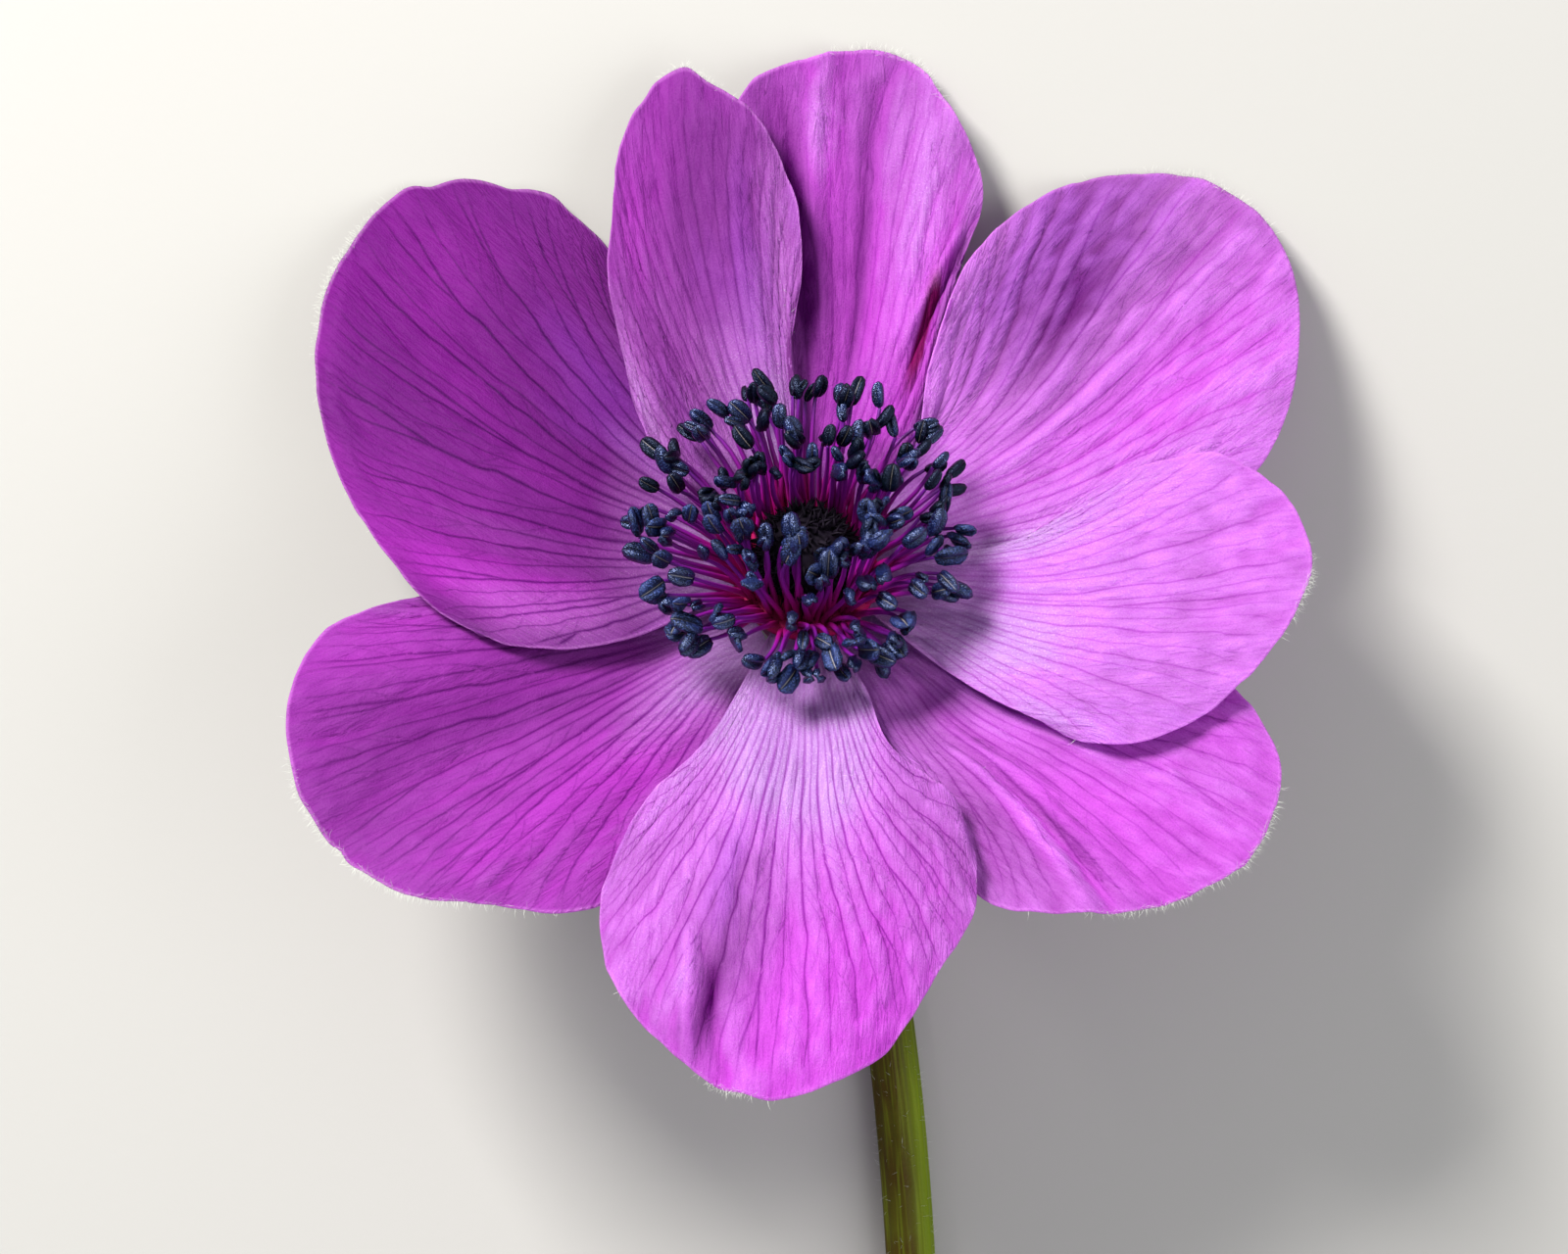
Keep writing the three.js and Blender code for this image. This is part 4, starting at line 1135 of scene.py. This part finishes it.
STAMEN_ROOTS = (3.7, 5.2)  # the inmost one's and the outmost one's distance from the axis
# (share of the stamens from the inside out, degrees that they lean outward)
STAMEN_LEANS = ((0, -6), (0.15, -1), (0.2, 6), (0.37, 15), (0.44, 32), (1, 52))
STAMEN_LENGTHS = (10.8, 9.2)  # the inmost one's and the outmost one's
STAMEN_BACK = 0.9  # mm that the outmost are longer at the bloom's raised side, shorter at its lower side
INMOST_SHARE = 0.2  # of the stamens; what is said of the inmost fades out over it
# Degrees that the inmost lean outward more: twice the first at the raised side, the sum of both
# at the right and left, and none at the lower side.
STAMEN_SPREAD = (3, 20)
STAMEN_SKEW = 4  # degrees that the outmost lean less at the right and more at the left
STAMEN_STRAY = dict(azimuth=0.5, lean=6, length=1.6, sway=0.3)
FILAMENT_SIDES = 6
FOOT_DEPTH = 0.4  # mm that a filament's foot is sunk in the collar
ANTHER_REACH = 1.3  # mm of a stamen's length that are left to its anther

# The anther models, each a kind and a skin, and which of them stand at the bloom's raised side
# and at its lower side. The raised side gets mostly the green-black skins with little pollen:
# partly the anthers' own colour and partly painted shade.
ANTHER_MODELS = ((0, "blue"), (1, "dusty"), (2, "blue"), (0, "green"), (2, "green"))
BACK_ANTHERS = (0, 2, 3, 3, 4, 4, 4)
FRONT_ANTHERS = (0, 0, 1, 1, 1, 2)
BACK_SIZE = 0.95
FRONT_SIZE = 1.05
ANTHER_TURNS = (0.7, 0.7, 1.4)  # the largest random turns of an anther, in radians
ANTHER_SIZES = (0.75, 1.15)  # the least and the largest random size
# The tint of a skin's patches, its roughness, its share of pollen and its gloss.
SAC_SKINS = dict(
    blue=((0.0015, 0.003, 0.022), 0.2, 0.25, 0.6),
    green=((0.0002, 0.0012, 0.0018), 0.27, 0.03, 0.22),
    dusty=((0.003, 0.006, 0.035), 0.4, 0.5, 0.4),
)
SAC_SHINE = (0.45, 0.56, 1.0, 1.0)  # tint of the light that a sac throws back
GROOVE = (0.001, 0.001, 0.003, 1)


def stamen_paths(settings):
    """Each filament's points, in the bloom's own millimetres, and the model and size of its anther."""
    random = np.random.RandomState(settings.seed)
    paths, models, sizes = [], [], []
    for i in range(settings.count):
        share = (i + 0.5) / settings.count
        azimuth = i * GOLDEN_ANGLE + STAMEN_STRAY["azimuth"] * random.uniform(-0.5, 0.5)
        outward = np.array([math.cos(azimuth), math.sin(azimuth), 0])
        aside = np.array([-math.sin(azimuth), math.cos(azimuth), 0])
        up = np.array([0, 0, 1.0])
        lean = np.interp(share, *zip(*STAMEN_LEANS)) + STAMEN_STRAY["lean"] * random.uniform(-0.5, 0.5)
        spread = STAMEN_SPREAD[0] * (1 + math.sin(azimuth)) + STAMEN_SPREAD[1] * math.cos(azimuth) ** 2
        lean += spread * max(1 - share / INMOST_SHARE, 0) - STAMEN_SKEW * math.cos(azimuth) * share
        lean = math.radians(lean)
        length = STAMEN_LENGTHS[0] + (STAMEN_LENGTHS[1] - STAMEN_LENGTHS[0]) * share
        length += STAMEN_STRAY["length"] * random.uniform(-0.5, 0.5) + STAMEN_BACK * math.sin(azimuth) * share
        bend = random.uniform(0.05, 0.45)
        sway = STAMEN_STRAY["sway"] * random.uniform(-1, 1)
        point = outward * (STAMEN_ROOTS[0] + (STAMEN_ROOTS[1] - STAMEN_ROOTS[0]) * share)
        point = point + up * (COLLAR_TOP - FOOT_DEPTH)
        path = [point]
        steps = 8
        for k in range(steps):
            along = (k + 0.5) / steps
            angle = lean * (1 - bend + 2 * bend * along)
            direction = up * math.cos(angle) + outward * math.sin(angle)
            direction = direction + aside * sway * math.sin(math.pi * along * 1.3)
            point = point + direction * (length - ANTHER_REACH) / steps
            path.append(point)
        paths.append(np.array(path))
        # Stamens at the raised side get the darker models: partly their own colour, partly painted shade.
        back = math.sin(azimuth) > 0.1
        models.append(random.choice(BACK_ANTHERS if back else FRONT_ANTHERS))
        sizes.append(BACK_SIZE if back else FRONT_SIZE)
    return paths, models, sizes


# Half of an anther's section, from the groove on its face round one sac to its back:
# (across, toward the face), both as shares of its width.
ANTHER_SECTION = ((0, 0.02), (0.12, 0.3), (0.36, 0.38), (0.5, 0.05), (0.34, -0.3), (0, -0.16))


def make_anther(name, length, width, kind, material):
    """Two pollen sacs side by side with a groove between them. Kind 0 is plump and closed,
    kind 1 has split open, flat and rough with pollen, and kind 2 is slim."""
    half = np.array(ANTHER_SECTION)
    section = np.concatenate([half, (half[-2:0:-1]) * (-1, 1)])
    stretch = ((1.0, 0.9), (1.15, 0.6), (0.72, 0.85))[kind]
    random = np.random.RandomState(70 + kind)
    rings = 7
    along = np.sin(np.linspace(-1, 1, rings) * math.pi / 2 * 0.93)
    points = []
    for share in along:
        swell = (1 - abs(share) ** 2.6) ** 0.45
        ring = section * width * stretch * swell
        if kind == 1:
            ring = ring * (1 + 0.12 * random.uniform(-1, 1, (len(ring), 1)))
        bow = 0.08 * width * (1 - share**2)
        points += [(x, y + bow, (share + 1) / 2 * length) for x, y in ring]
    sides, count = len(section), len(section) * rings
    points += [(0, 0, 0.02 * length), (0, 0, 0.98 * length)]
    faces = grid_faces(rings - 1, sides, closed=True, flip=True)
    for k in range(sides):
        after = (k + 1) % sides
        faces.append((k, after, count))
        faces.append((count - sides + after, count - sides + k, count + 1))
    piece = new_piece(name, points, faces, [material])
    seam = np.tile([1.0] + [0.0] * (sides - 1), rings)
    point_values(piece, "seam", np.concatenate([seam, [0, 0]]))
    return piece


def stamen_tree(filament_skin):
    """Turns paths into tapering filaments and plants an anther on the top of each."""
    tree, nodes, given, result = new_group("Geometry", "stamens", [
        ("Geometry", "Geometry"), ("Foot radius", "Float"), ("Top radius", "Float"),
        ("Seed", "Int"), ("Anthers", "Collection"),
    ], [("Geometry", "Geometry")])
    curve = nodes.add("GeometryNodeMeshToCurve", given.outputs["Geometry"])
    share = nodes.add("GeometryNodeSplineParameter").outputs["Factor"]
    radius = nodes.add("ShaderNodeMapRange", share, 0.0, 1.0,
                       given.outputs["Foot radius"], given.outputs["Top radius"])
    kept = nodes.add("GeometryNodeStoreNamedAttribute", data_type="FLOAT", domain="POINT",
                     inputs={"Geometry": curve, "Name": "height", "Value": share})
    ring = nodes.add("GeometryNodeCurvePrimitiveCircle", mode="RADIUS",
                     inputs={"Resolution": FILAMENT_SIDES, "Radius": 1.0})
    tube = nodes.add("GeometryNodeCurveToMesh", inputs={
        "Curve": kept, "Profile Curve": ring.outputs["Curve"], "Scale": radius, "Fill Caps": True,
    })
    smooth = nodes.add("GeometryNodeSetShadeSmooth", inputs={"Geometry": tube})
    coat = nodes.add("GeometryNodeSetMaterial", smooth, inputs={"Material": filament_skin})
    tops = nodes.add("GeometryNodeCurveEndpointSelection", inputs={"Start Size": 0, "End Size": 1})
    tangent = nodes.add("GeometryNodeInputTangent")
    upright = nodes.add("FunctionNodeAlignRotationToVector", axis="Z", inputs={"Vector": tangent})
    facing = nodes.add("FunctionNodeAlignRotationToVector", axis="Y", pivot_axis="Z",
                       inputs={"Rotation": upright, "Vector": (0.0, 0.0, 1.0)})
    back = tuple(-turn for turn in ANTHER_TURNS)
    anthers = nodes.add("GeometryNodeCollectionInfo", inputs={
        "Collection": given.outputs["Anthers"], "Separate Children": True, "Reset Children": True,
    })
    varied = random_number(nodes, *ANTHER_SIZES)
    planted = nodes.add("GeometryNodeInstanceOnPoints", inputs={
        "Points": curve, "Selection": tops, "Instance": anthers.outputs[0],
        "Pick Instance": True, "Instance Index": point_value(nodes, "model", "INT"),
        "Rotation": random_turn(nodes, facing, back, ANTHER_TURNS, given.outputs["Seed"]),
        "Scale": math_node(nodes, "MULTIPLY", point_value(nodes, "size"), varied),
    })
    real = nodes.add("GeometryNodeRealizeInstances", planted)
    joined = nodes.add("GeometryNodeJoinGeometry")
    nodes.feed(joined.inputs[0], coat)
    nodes.feed(joined.inputs[0], real)
    nodes.feed(result.inputs[0], joined)
    return tree


def filament_material(settings):
    """A filament's skin, from its crimson foot to its dark top."""
    material, nodes = new_material("filament_skin")
    ramp = nodes.add("ShaderNodeValToRGB", attribute(nodes, "height"))
    stops = ((0.0, (0.26, 0.001, 0.06)), (0.22, (0.28, 0.001, 0.12)), (0.6, tuple(settings.filament)),
             (1.0, (0.07, 0.004, 0.13)))
    ramp.color_ramp.elements.remove(ramp.color_ramp.elements[1])
    ramp.color_ramp.elements[0].color = colour(stops[0][1])
    for place, tint in stops[1:]:
        ramp.color_ramp.elements.new(place).color = colour(tint)
    show(nodes, add_skin(nodes, ramp.outputs["Color"], 0.45, 0.3))
    return material


def anther_material(settings, name, tint, roughness, pollen, gloss):
    """A sac's dark skin with tinted patches, grains of pollen and a seam in its groove."""
    material, nodes = new_material(name)
    patches, grain = own_noise(nodes, 700.0), own_noise(nodes, 9000.0)
    base = mixed(nodes, stepped(nodes, patches, 0.43, 0.65), colour(settings.sac), colour(tint))
    base = mixed(nodes, stepped(nodes, grain, 0.5, 0.68, 0.0, pollen), base, colour(settings.pollen))
    seam = attribute(nodes, "seam")
    base = mixed(nodes, stepped(nodes, seam, 0.2, 0.6, 0.0, 0.85), base, GROOVE)
    base = mixed(nodes, stepped(nodes, seam, 0.75, 0.92), base, colour(settings.seam))
    bump = bumped(nodes, grain, 0.8, 0.0001)
    show(nodes, add_skin(nodes, base, roughness, gloss, bump, {"Specular Tint": SAC_SHINE}))
    return material


class ANEMONE_OT_stamens(bpy.types.Operator):
    """Makes the ring of stamens in place of its solid"""

    bl_idname = "anemone.stamens"
    bl_label = "Stamens"

    def execute(self, context):
        settings = context.scene.anemone_stamens
        paths, picks, sizes = stamen_paths(settings)
        count = len(paths[0])
        edges = [(k, k + 1) for k in range(len(paths) * count) if (k + 1) % count]
        carrier = new_piece("stamen_paths", Bloom.to_part(np.concatenate(paths)), [], edges=edges)
        point_values(carrier, "model", np.repeat(picks, count), "INT")
        point_values(carrier, "size", np.repeat(sizes, count))
        skins = {key: anther_material(settings, f"sac_{key}", *skin) for key, skin in SAC_SKINS.items()}
        models = bpy.data.collections.new("anther_models")
        context.scene.collection.children.link(models)
        for number, (kind, skin) in enumerate(ANTHER_MODELS):
            shape = make_anther(
                f"anther_model_{number}", settings.anther_length, settings.anther_width, kind, skins[skin]
            )
            context.scene.collection.objects.unlink(shape)
            models.objects.link(shape)
        piece = made_by(stamen_tree(filament_material(settings)), carrier, "stamen_ring", {
            "Foot radius": settings.foot_radius, "Top radius": settings.top_radius,
            "Seed": settings.seed, "Anthers": models,
        })
        drop(carrier, *models.objects)
        bpy.data.collections.remove(models)
        finish_piece(piece, "stamens")
        collar = make_lathe("stamen_collar", (
            (0.5, COLLAR_TOP - 1.2), (ROOT_RADIUS, COLLAR_TOP - 1.4), (COLLAR_RADIUS, COLLAR_TOP - 0.8),
            (COLLAR_RADIUS, COLLAR_TOP - 0.35), (COLLAR_RADIUS - 0.35, COLLAR_TOP), (0.5, COLLAR_TOP),
        ), 64, plain_material("collar_skin", (0.22, 0.001, 0.05, 1), 0.6, specular=0.1))
        finish_piece(collar)
        return {"FINISHED"}


# ----------------------------------------------------------------------- pistil


def make_lathe(name, profile, sides, material):
    """A closed turned form on the bloom's axis; the profile is (radius, height) in millimetres,
    from the underside's middle outward and over to the top's."""
    points = []
    for radius, height in profile:
        for k in range(sides):
            angle = 2 * math.pi * k / sides
            points.append((radius * math.cos(angle), radius * math.sin(angle), height))
    faces = grid_faces(len(profile) - 1, sides, closed=True)
    last = len(points) - sides
    faces += [tuple(range(sides - 1, -1, -1)), tuple(range(last, last + sides))]
    return new_piece(name, Bloom.to_part(np.array(points, float)), faces, [material])


def pistil_material(settings):
    """Near-black felt with slightly paler tufts."""
    material, nodes = new_material("pistil_felt")
    tufts = stepped(nodes, own_noise(nodes, 2500.0, 3.0), 0.45, 0.75)
    base = mixed(nodes, tufts, colour(settings.felt), (0.010, 0.007, 0.012, 1))
    show(nodes, add_skin(nodes, base, 0.7, 0.08))
    return material


class ANEMONE_OT_pistil(bpy.types.Operator):
    """Makes the dark dome of carpels with its styles in place of its solid"""

    bl_idname = "anemone.pistil"
    bl_label = "Pistil"

    def execute(self, context):
        settings = context.scene.anemone_pistil
        radius, height = settings.radius / MM, settings.height / MM
        foot = COLLAR_TOP + SEAT_GAP
        rings = 18
        shape = spline_point(np.array([
            (radius * 0.8, foot), (radius, foot + height * 0.3), (radius * 0.9, foot + height * 0.62),
            (radius * 0.6, foot + height * 0.88), (0.15, foot + height),
        ]), np.linspace(0, 1, rings))
        felt = pistil_material(settings)
        dome = make_lathe("pistil_dome", [(0.3, foot), *map(tuple, shape)], 48, felt)
        point_values(dome, "downy", np.ones(len(dome.data.vertices)))
        style = tapered_hair("style_model", settings.style_length, 0.00016, 0.35)
        styles = made_by(scatter_tree(felt), dome, "pistil_styles", {
            "Density": 5e6, "Seed": 5, "Shape": style, "Tilt": 0.6,
            "Least size": 0.7, "Largest size": 1.25,
        })
        drop(style)
        finish_piece(dome, "pistil")
        finish_piece(styles)
        return {"FINISHED"}


# ------------------------------------------------------------------------- stem


STEM_GIRTH = 12.0  # mm around the stem, roughly
NECK_PURPLE = (0.05, 0.002, 0.03, 1)
# Colour of the petals' painted shadow on the stem.
PAINTED_PETAL_SHADOW = (0.02, 0.016, 0.001, 1)
STRIPES = (0.12, 0.16, 0.006, 1)
CUT_FLESH = (0.42, 0.45, 0.22, 1)


def stem_material(settings, tissue_group):
    """Green with an olive flank, darkened toward the bloom by a painted shadow of the petals, striped
    lengthwise and pale at the cut.
    """
    material, nodes = new_material("stem_skin")
    around, run, turn = (attribute(nodes, k) for k in ("around", "run", "turn"))
    tissue = nodes.add("ShaderNodeGroup", run, math_node(nodes, "MULTIPLY", turn, STEM_GIRTH),
                       node_tree=tissue_group, inputs={
                           "Cell Size": 0.25, "Mottle Size": 5.0, "Wrinkle Width": 0.3, "Wrinkle Length": 8.0,
                       })
    cells, mottle, wrinkles = (tissue.outputs[k] for k in ("Cells", "Mottle", "Wrinkles"))
    flush = stepped(nodes, around, 0.0, 0.9, 1.0, 0.0)
    flush = math_node(nodes, "MULTIPLY", flush, stepped(nodes, mottle, 0.25, 0.65, 0.7, 1.0))
    base = mixed(nodes, flush, colour(settings.green), colour(settings.olive))
    # Painted shadow of the petals: the stem is darkened up to 37 mm from the bloom, fading out by 44 mm.
    base = mixed(nodes, stepped(nodes, run, 37.0, 44.0, 0.55, 0.0), base, PAINTED_PETAL_SHADOW)
    base = mixed(nodes, stepped(nodes, wrinkles, 0.45, 0.7, 0.0, 0.4), base, STRIPES)
    base = mixed(nodes, stepped(nodes, run, 5.0, 9.0, 1.0, 0.0), base, NECK_PURPLE)
    base = mixed(nodes, stepped(nodes, run, STEM_LENGTH - 0.02, STEM_LENGTH), base, CUT_FLESH)
    show(nodes, add_skin(nodes, base, 0.48, 0.08, bumped(nodes, cells, 0.4, 0.00008)))
    return material


def make_stem(settings, material):
    """The stem's skin just inside its solid's, with ribs, and flat where it lies."""
    rings, sides = settings.rings, settings.sides
    distance = np.concatenate([
        np.linspace(0, Bloom.straight + 12, rings // 3, endpoint=False),
        np.linspace(Bloom.straight + 12, STEM_LENGTH, rings - rings // 3),
    ])
    centre = Bloom.stem_axis(distance)
    along = Bloom.stem_axis(distance + 0.05) - Bloom.stem_axis(np.maximum(distance - 0.05, 0))
    along /= np.linalg.norm(along, axis=1, keepdims=True)
    across = np.cross([0, 0, 1], along)
    across /= np.linalg.norm(across, axis=1, keepdims=True)
    back = np.cross(along, across)
    below = distance - (RECEPTACLE_TOP - RECEPTACLE_FOOT)
    taper = ease(below, 0, RECEPTACLE_TAPER)
    radius = RECEPTACLE_RADIUS * (1 - taper) + STEM_RADIUS * taper
    angle = np.linspace(0, 2 * math.pi, sides, endpoint=False) - math.pi / 2
    wave = lattice_noise(angle[None, :] * 4.1 + 20, distance[:, None] * 0.02, 31)
    ribs = settings.rib / MM * (np.cos(11 * angle)[None, :] - 1 + wave) * taper[:, None]
    length = radius[:, None] + ribs - 0.01
    x, y = length * np.cos(angle), length * np.sin(angle)
    floor = -radius * math.sqrt(1 - (STEM_FLAT_WIDTH / 2 / STEM_RADIUS) ** 2)
    y = np.maximum(y, floor[:, None] + 0.005)
    points = centre[:, None] + x[..., None] * across[:, None] + y[..., None] * back[:, None]
    caps = [points[0].mean(0), points[-1].mean(0) + along[-1] * -0.15]
    points = np.concatenate([points.reshape(-1, 3), caps]) + Bloom.place()
    faces = grid_faces(len(distance) - 1, sides, closed=True)
    top, end = len(points) - 2, len(points) - 1
    last = (len(distance) - 1) * sides
    for k in range(sides):
        after = (k + 1) % sides
        faces.append((after, k, top))
        faces.append((last + k, last + after, end))
    piece = new_piece("stem_skin", points * MM, faces, [material])
    facing_up = np.tile(np.sin(angle), len(distance)) > -0.3
    for label, values, ends in (
        ("run", np.repeat(distance, sides), (0, STEM_LENGTH)),
        ("turn", np.tile(angle / (2 * math.pi), len(distance)), (0, 0)),
        ("around", np.tile(np.cos(angle), len(distance)), (0, 0)),
        ("downy", np.repeat(ease(distance, 4, 9), sides) * facing_up, (0, 0)),
    ):
        point_values(piece, label, np.concatenate([values, ends]))
    return piece


class ANEMONE_OT_stem(bpy.types.Operator):
    """Makes the ribbed stem and receptacle in place of their solid"""

    bl_idname = "anemone.stem"
    bl_label = "Stem"

    def execute(self, context):
        settings = context.scene.anemone_stem
        piece = make_stem(settings, stem_material(settings, bpy.data.node_groups["plant_tissue"]))
        finish_piece(piece, "stem")
        return {"FINISHED"}


class ANEMONE_OT_down(bpy.types.Operator):
    """Plants the silky hairs on the petals' backs and rims and on the stem"""

    bl_idname = "anemone.down"
    bl_label = "Down"

    def execute(self, context):
        settings = context.scene.anemone_down
        tree = scatter_tree(plain_material("silky_hair", colour(settings.colour), 0.45, sheen=0.2))
        hair = tapered_hair("hair_model", settings.length, settings.thickness, 0.35)
        for number, name in enumerate(PETALS):
            down = made_by(tree, bpy.data.objects[f"{name}_blade"], f"{name}_down", {
                "Density": settings.petal_density, "Seed": 20 + number, "Shape": hair, "Tilt": 0.5,
                "Least size": 0.5, "Largest size": 1.1,
            })
            finish_piece(down)
        down = made_by(tree, bpy.data.objects["stem_skin"], "stem_down", {
            "Density": settings.stem_density, "Seed": 40, "Shape": hair, "Tilt": 0.7,
            "Least size": 0.4, "Largest size": 0.9,
        })
        finish_piece(down)
        drop(hair)
        return {"FINISHED"}


# ------------------------------------------------------------------------ stage

PHOTO_SIZE = (1600, 1280)
PHOTO_ROOTS = (822, 612)  # the pixel where the petals' roots meet
SENSOR = 36.0  # mm
FLOOR_REACH = 2.0
FLOOR_DROP = 0.00002  # keeps the floor clear of the faces that lie on it
# (name, place from the petals' roots, power, size, tint)
LIGHTS = (
    ("key", (-0.30, 0.36, 0.38), 12.3, 0.2, (1.0, 0.98, 0.96)),
    ("fill", (0.45, -0.2, 0.45), 4.0, 0.6, (0.94, 0.96, 1.0)),
)
SKY = (0.95, 0.97, 1.0, 1.0)
SKY_STRENGTH = 0.82


def add_light(name, place, target, energy, size, tint):
    """A square lamp that faces the target."""
    data = bpy.data.lights.new(name, "AREA")
    data.energy = energy
    data.color = tint
    data.size = size
    lamp = bpy.data.objects.new(name, data)
    bpy.context.scene.collection.objects.link(lamp)
    lamp.location = place
    lamp.rotation_mode = "QUATERNION"
    lamp.rotation_quaternion = (Vector(target) - Vector(place)).to_track_quat("-Z", "Y")


class ANEMONE_OT_stage(bpy.types.Operator):
    """Makes the pale floor, the soft studio light and the camera"""

    bl_idname = "anemone.stage"
    bl_label = "Stage"

    def execute(self, context):
        settings = context.scene.anemone_stage
        material, nodes = new_material("floor_paper")
        bump = bumped(nodes, own_noise(nodes, 900.0, 4.0), 0.15, 0.00005)
        show(nodes, add_skin(nodes, colour(settings.floor), 0.8, bump=bump))
        corners = [(x * FLOOR_REACH, y * FLOOR_REACH, 0) for x, y in ((-1, -1), (1, -1), (1, 1), (-1, 1))]
        floor = new_piece("floor", corners, [(0, 1, 2, 3)], [material], smooth=False)
        floor.location.z = -FLOOR_DROP

        roots = Vector(Bloom.to_part(np.zeros(3)))
        scale = settings.pixel
        centre = Vector((
            roots.x + (PHOTO_SIZE[0] / 2 - PHOTO_ROOTS[0]) * scale,
            roots.y - (PHOTO_SIZE[1] / 2 - PHOTO_ROOTS[1]) * scale,
            roots.z,
        ))
        data = bpy.data.cameras.new("camera")
        data.sensor_width = SENSOR
        data.lens = data.sensor_width * settings.distance / (PHOTO_SIZE[0] * scale)
        data.clip_start, data.clip_end = 0.01, 10
        camera = bpy.data.objects.new("camera", data)
        context.scene.collection.objects.link(camera)
        camera.location = centre + Vector((0, 0, settings.distance))
        context.scene.camera = camera

        for name, place, energy, size, tint in LIGHTS:
            add_light(name, roots + Vector(place), roots, energy, size, tint)
        world = bpy.data.worlds.new("studio")
        world.use_nodes = True
        background = world.node_tree.nodes["Background"]
        background.inputs["Color"].default_value = SKY
        background.inputs["Strength"].default_value = SKY_STRENGTH
        context.scene.world = world
        context.scene.view_settings.view_transform = "Standard"
        return {"FINISHED"}


# ------------------------------------------------------------------------ panel


class ANEMONE_PT_panel(bpy.types.Panel):
    bl_label = "Anemone"
    bl_idname = "ANEMONE_PT_panel"
    bl_space_type = "VIEW_3D"
    bl_region_type = "UI"
    bl_category = "Anemone"

    def draw(self, context):
        for label, group, operator in SECTIONS:
            box = self.layout.box()
            box.label(text=label)
            settings = getattr(context.scene, group)
            for key in settings.__annotations__:
                box.prop(settings, key)
            box.operator(operator)


SECTIONS = (
    ("Petals", "anemone_petals", "anemone.petals"),
    ("Stamens", "anemone_stamens", "anemone.stamens"),
    ("Pistil", "anemone_pistil", "anemone.pistil"),
    ("Stem", "anemone_stem", "anemone.stem"),
    ("Down", "anemone_down", "anemone.down"),
    ("Stage", "anemone_stage", "anemone.stage"),
)

SETTINGS = {
    "anemone_petals": PetalSettings,
    "anemone_stamens": StamenSettings,
    "anemone_pistil": PistilSettings,
    "anemone_stem": StemSettings,
    "anemone_down": DownSettings,
    "anemone_stage": StageSettings,
}

CLASSES = (
    *SETTINGS.values(),
    ANEMONE_OT_petals,
    ANEMONE_OT_stamens,
    ANEMONE_OT_pistil,
    ANEMONE_OT_stem,
    ANEMONE_OT_down,
    ANEMONE_OT_stage,
    ANEMONE_PT_panel,
)


def register():
    for item in CLASSES:
        bpy.utils.register_class(item)
    for name, settings in SETTINGS.items():
        setattr(bpy.types.Scene, name, PointerProperty(type=settings))


def unregister():
    for name in SETTINGS:
        delattr(bpy.types.Scene, name)
    for item in reversed(CLASSES):
        bpy.utils.unregister_class(item)


def main():
    register()
    bpy.ops.anemone.petals()
    bpy.ops.anemone.stamens()
    bpy.ops.anemone.pistil()
    bpy.ops.anemone.stem()
    bpy.ops.anemone.down()
    bpy.ops.anemone.stage()


if __name__ == "__main__":
    main()
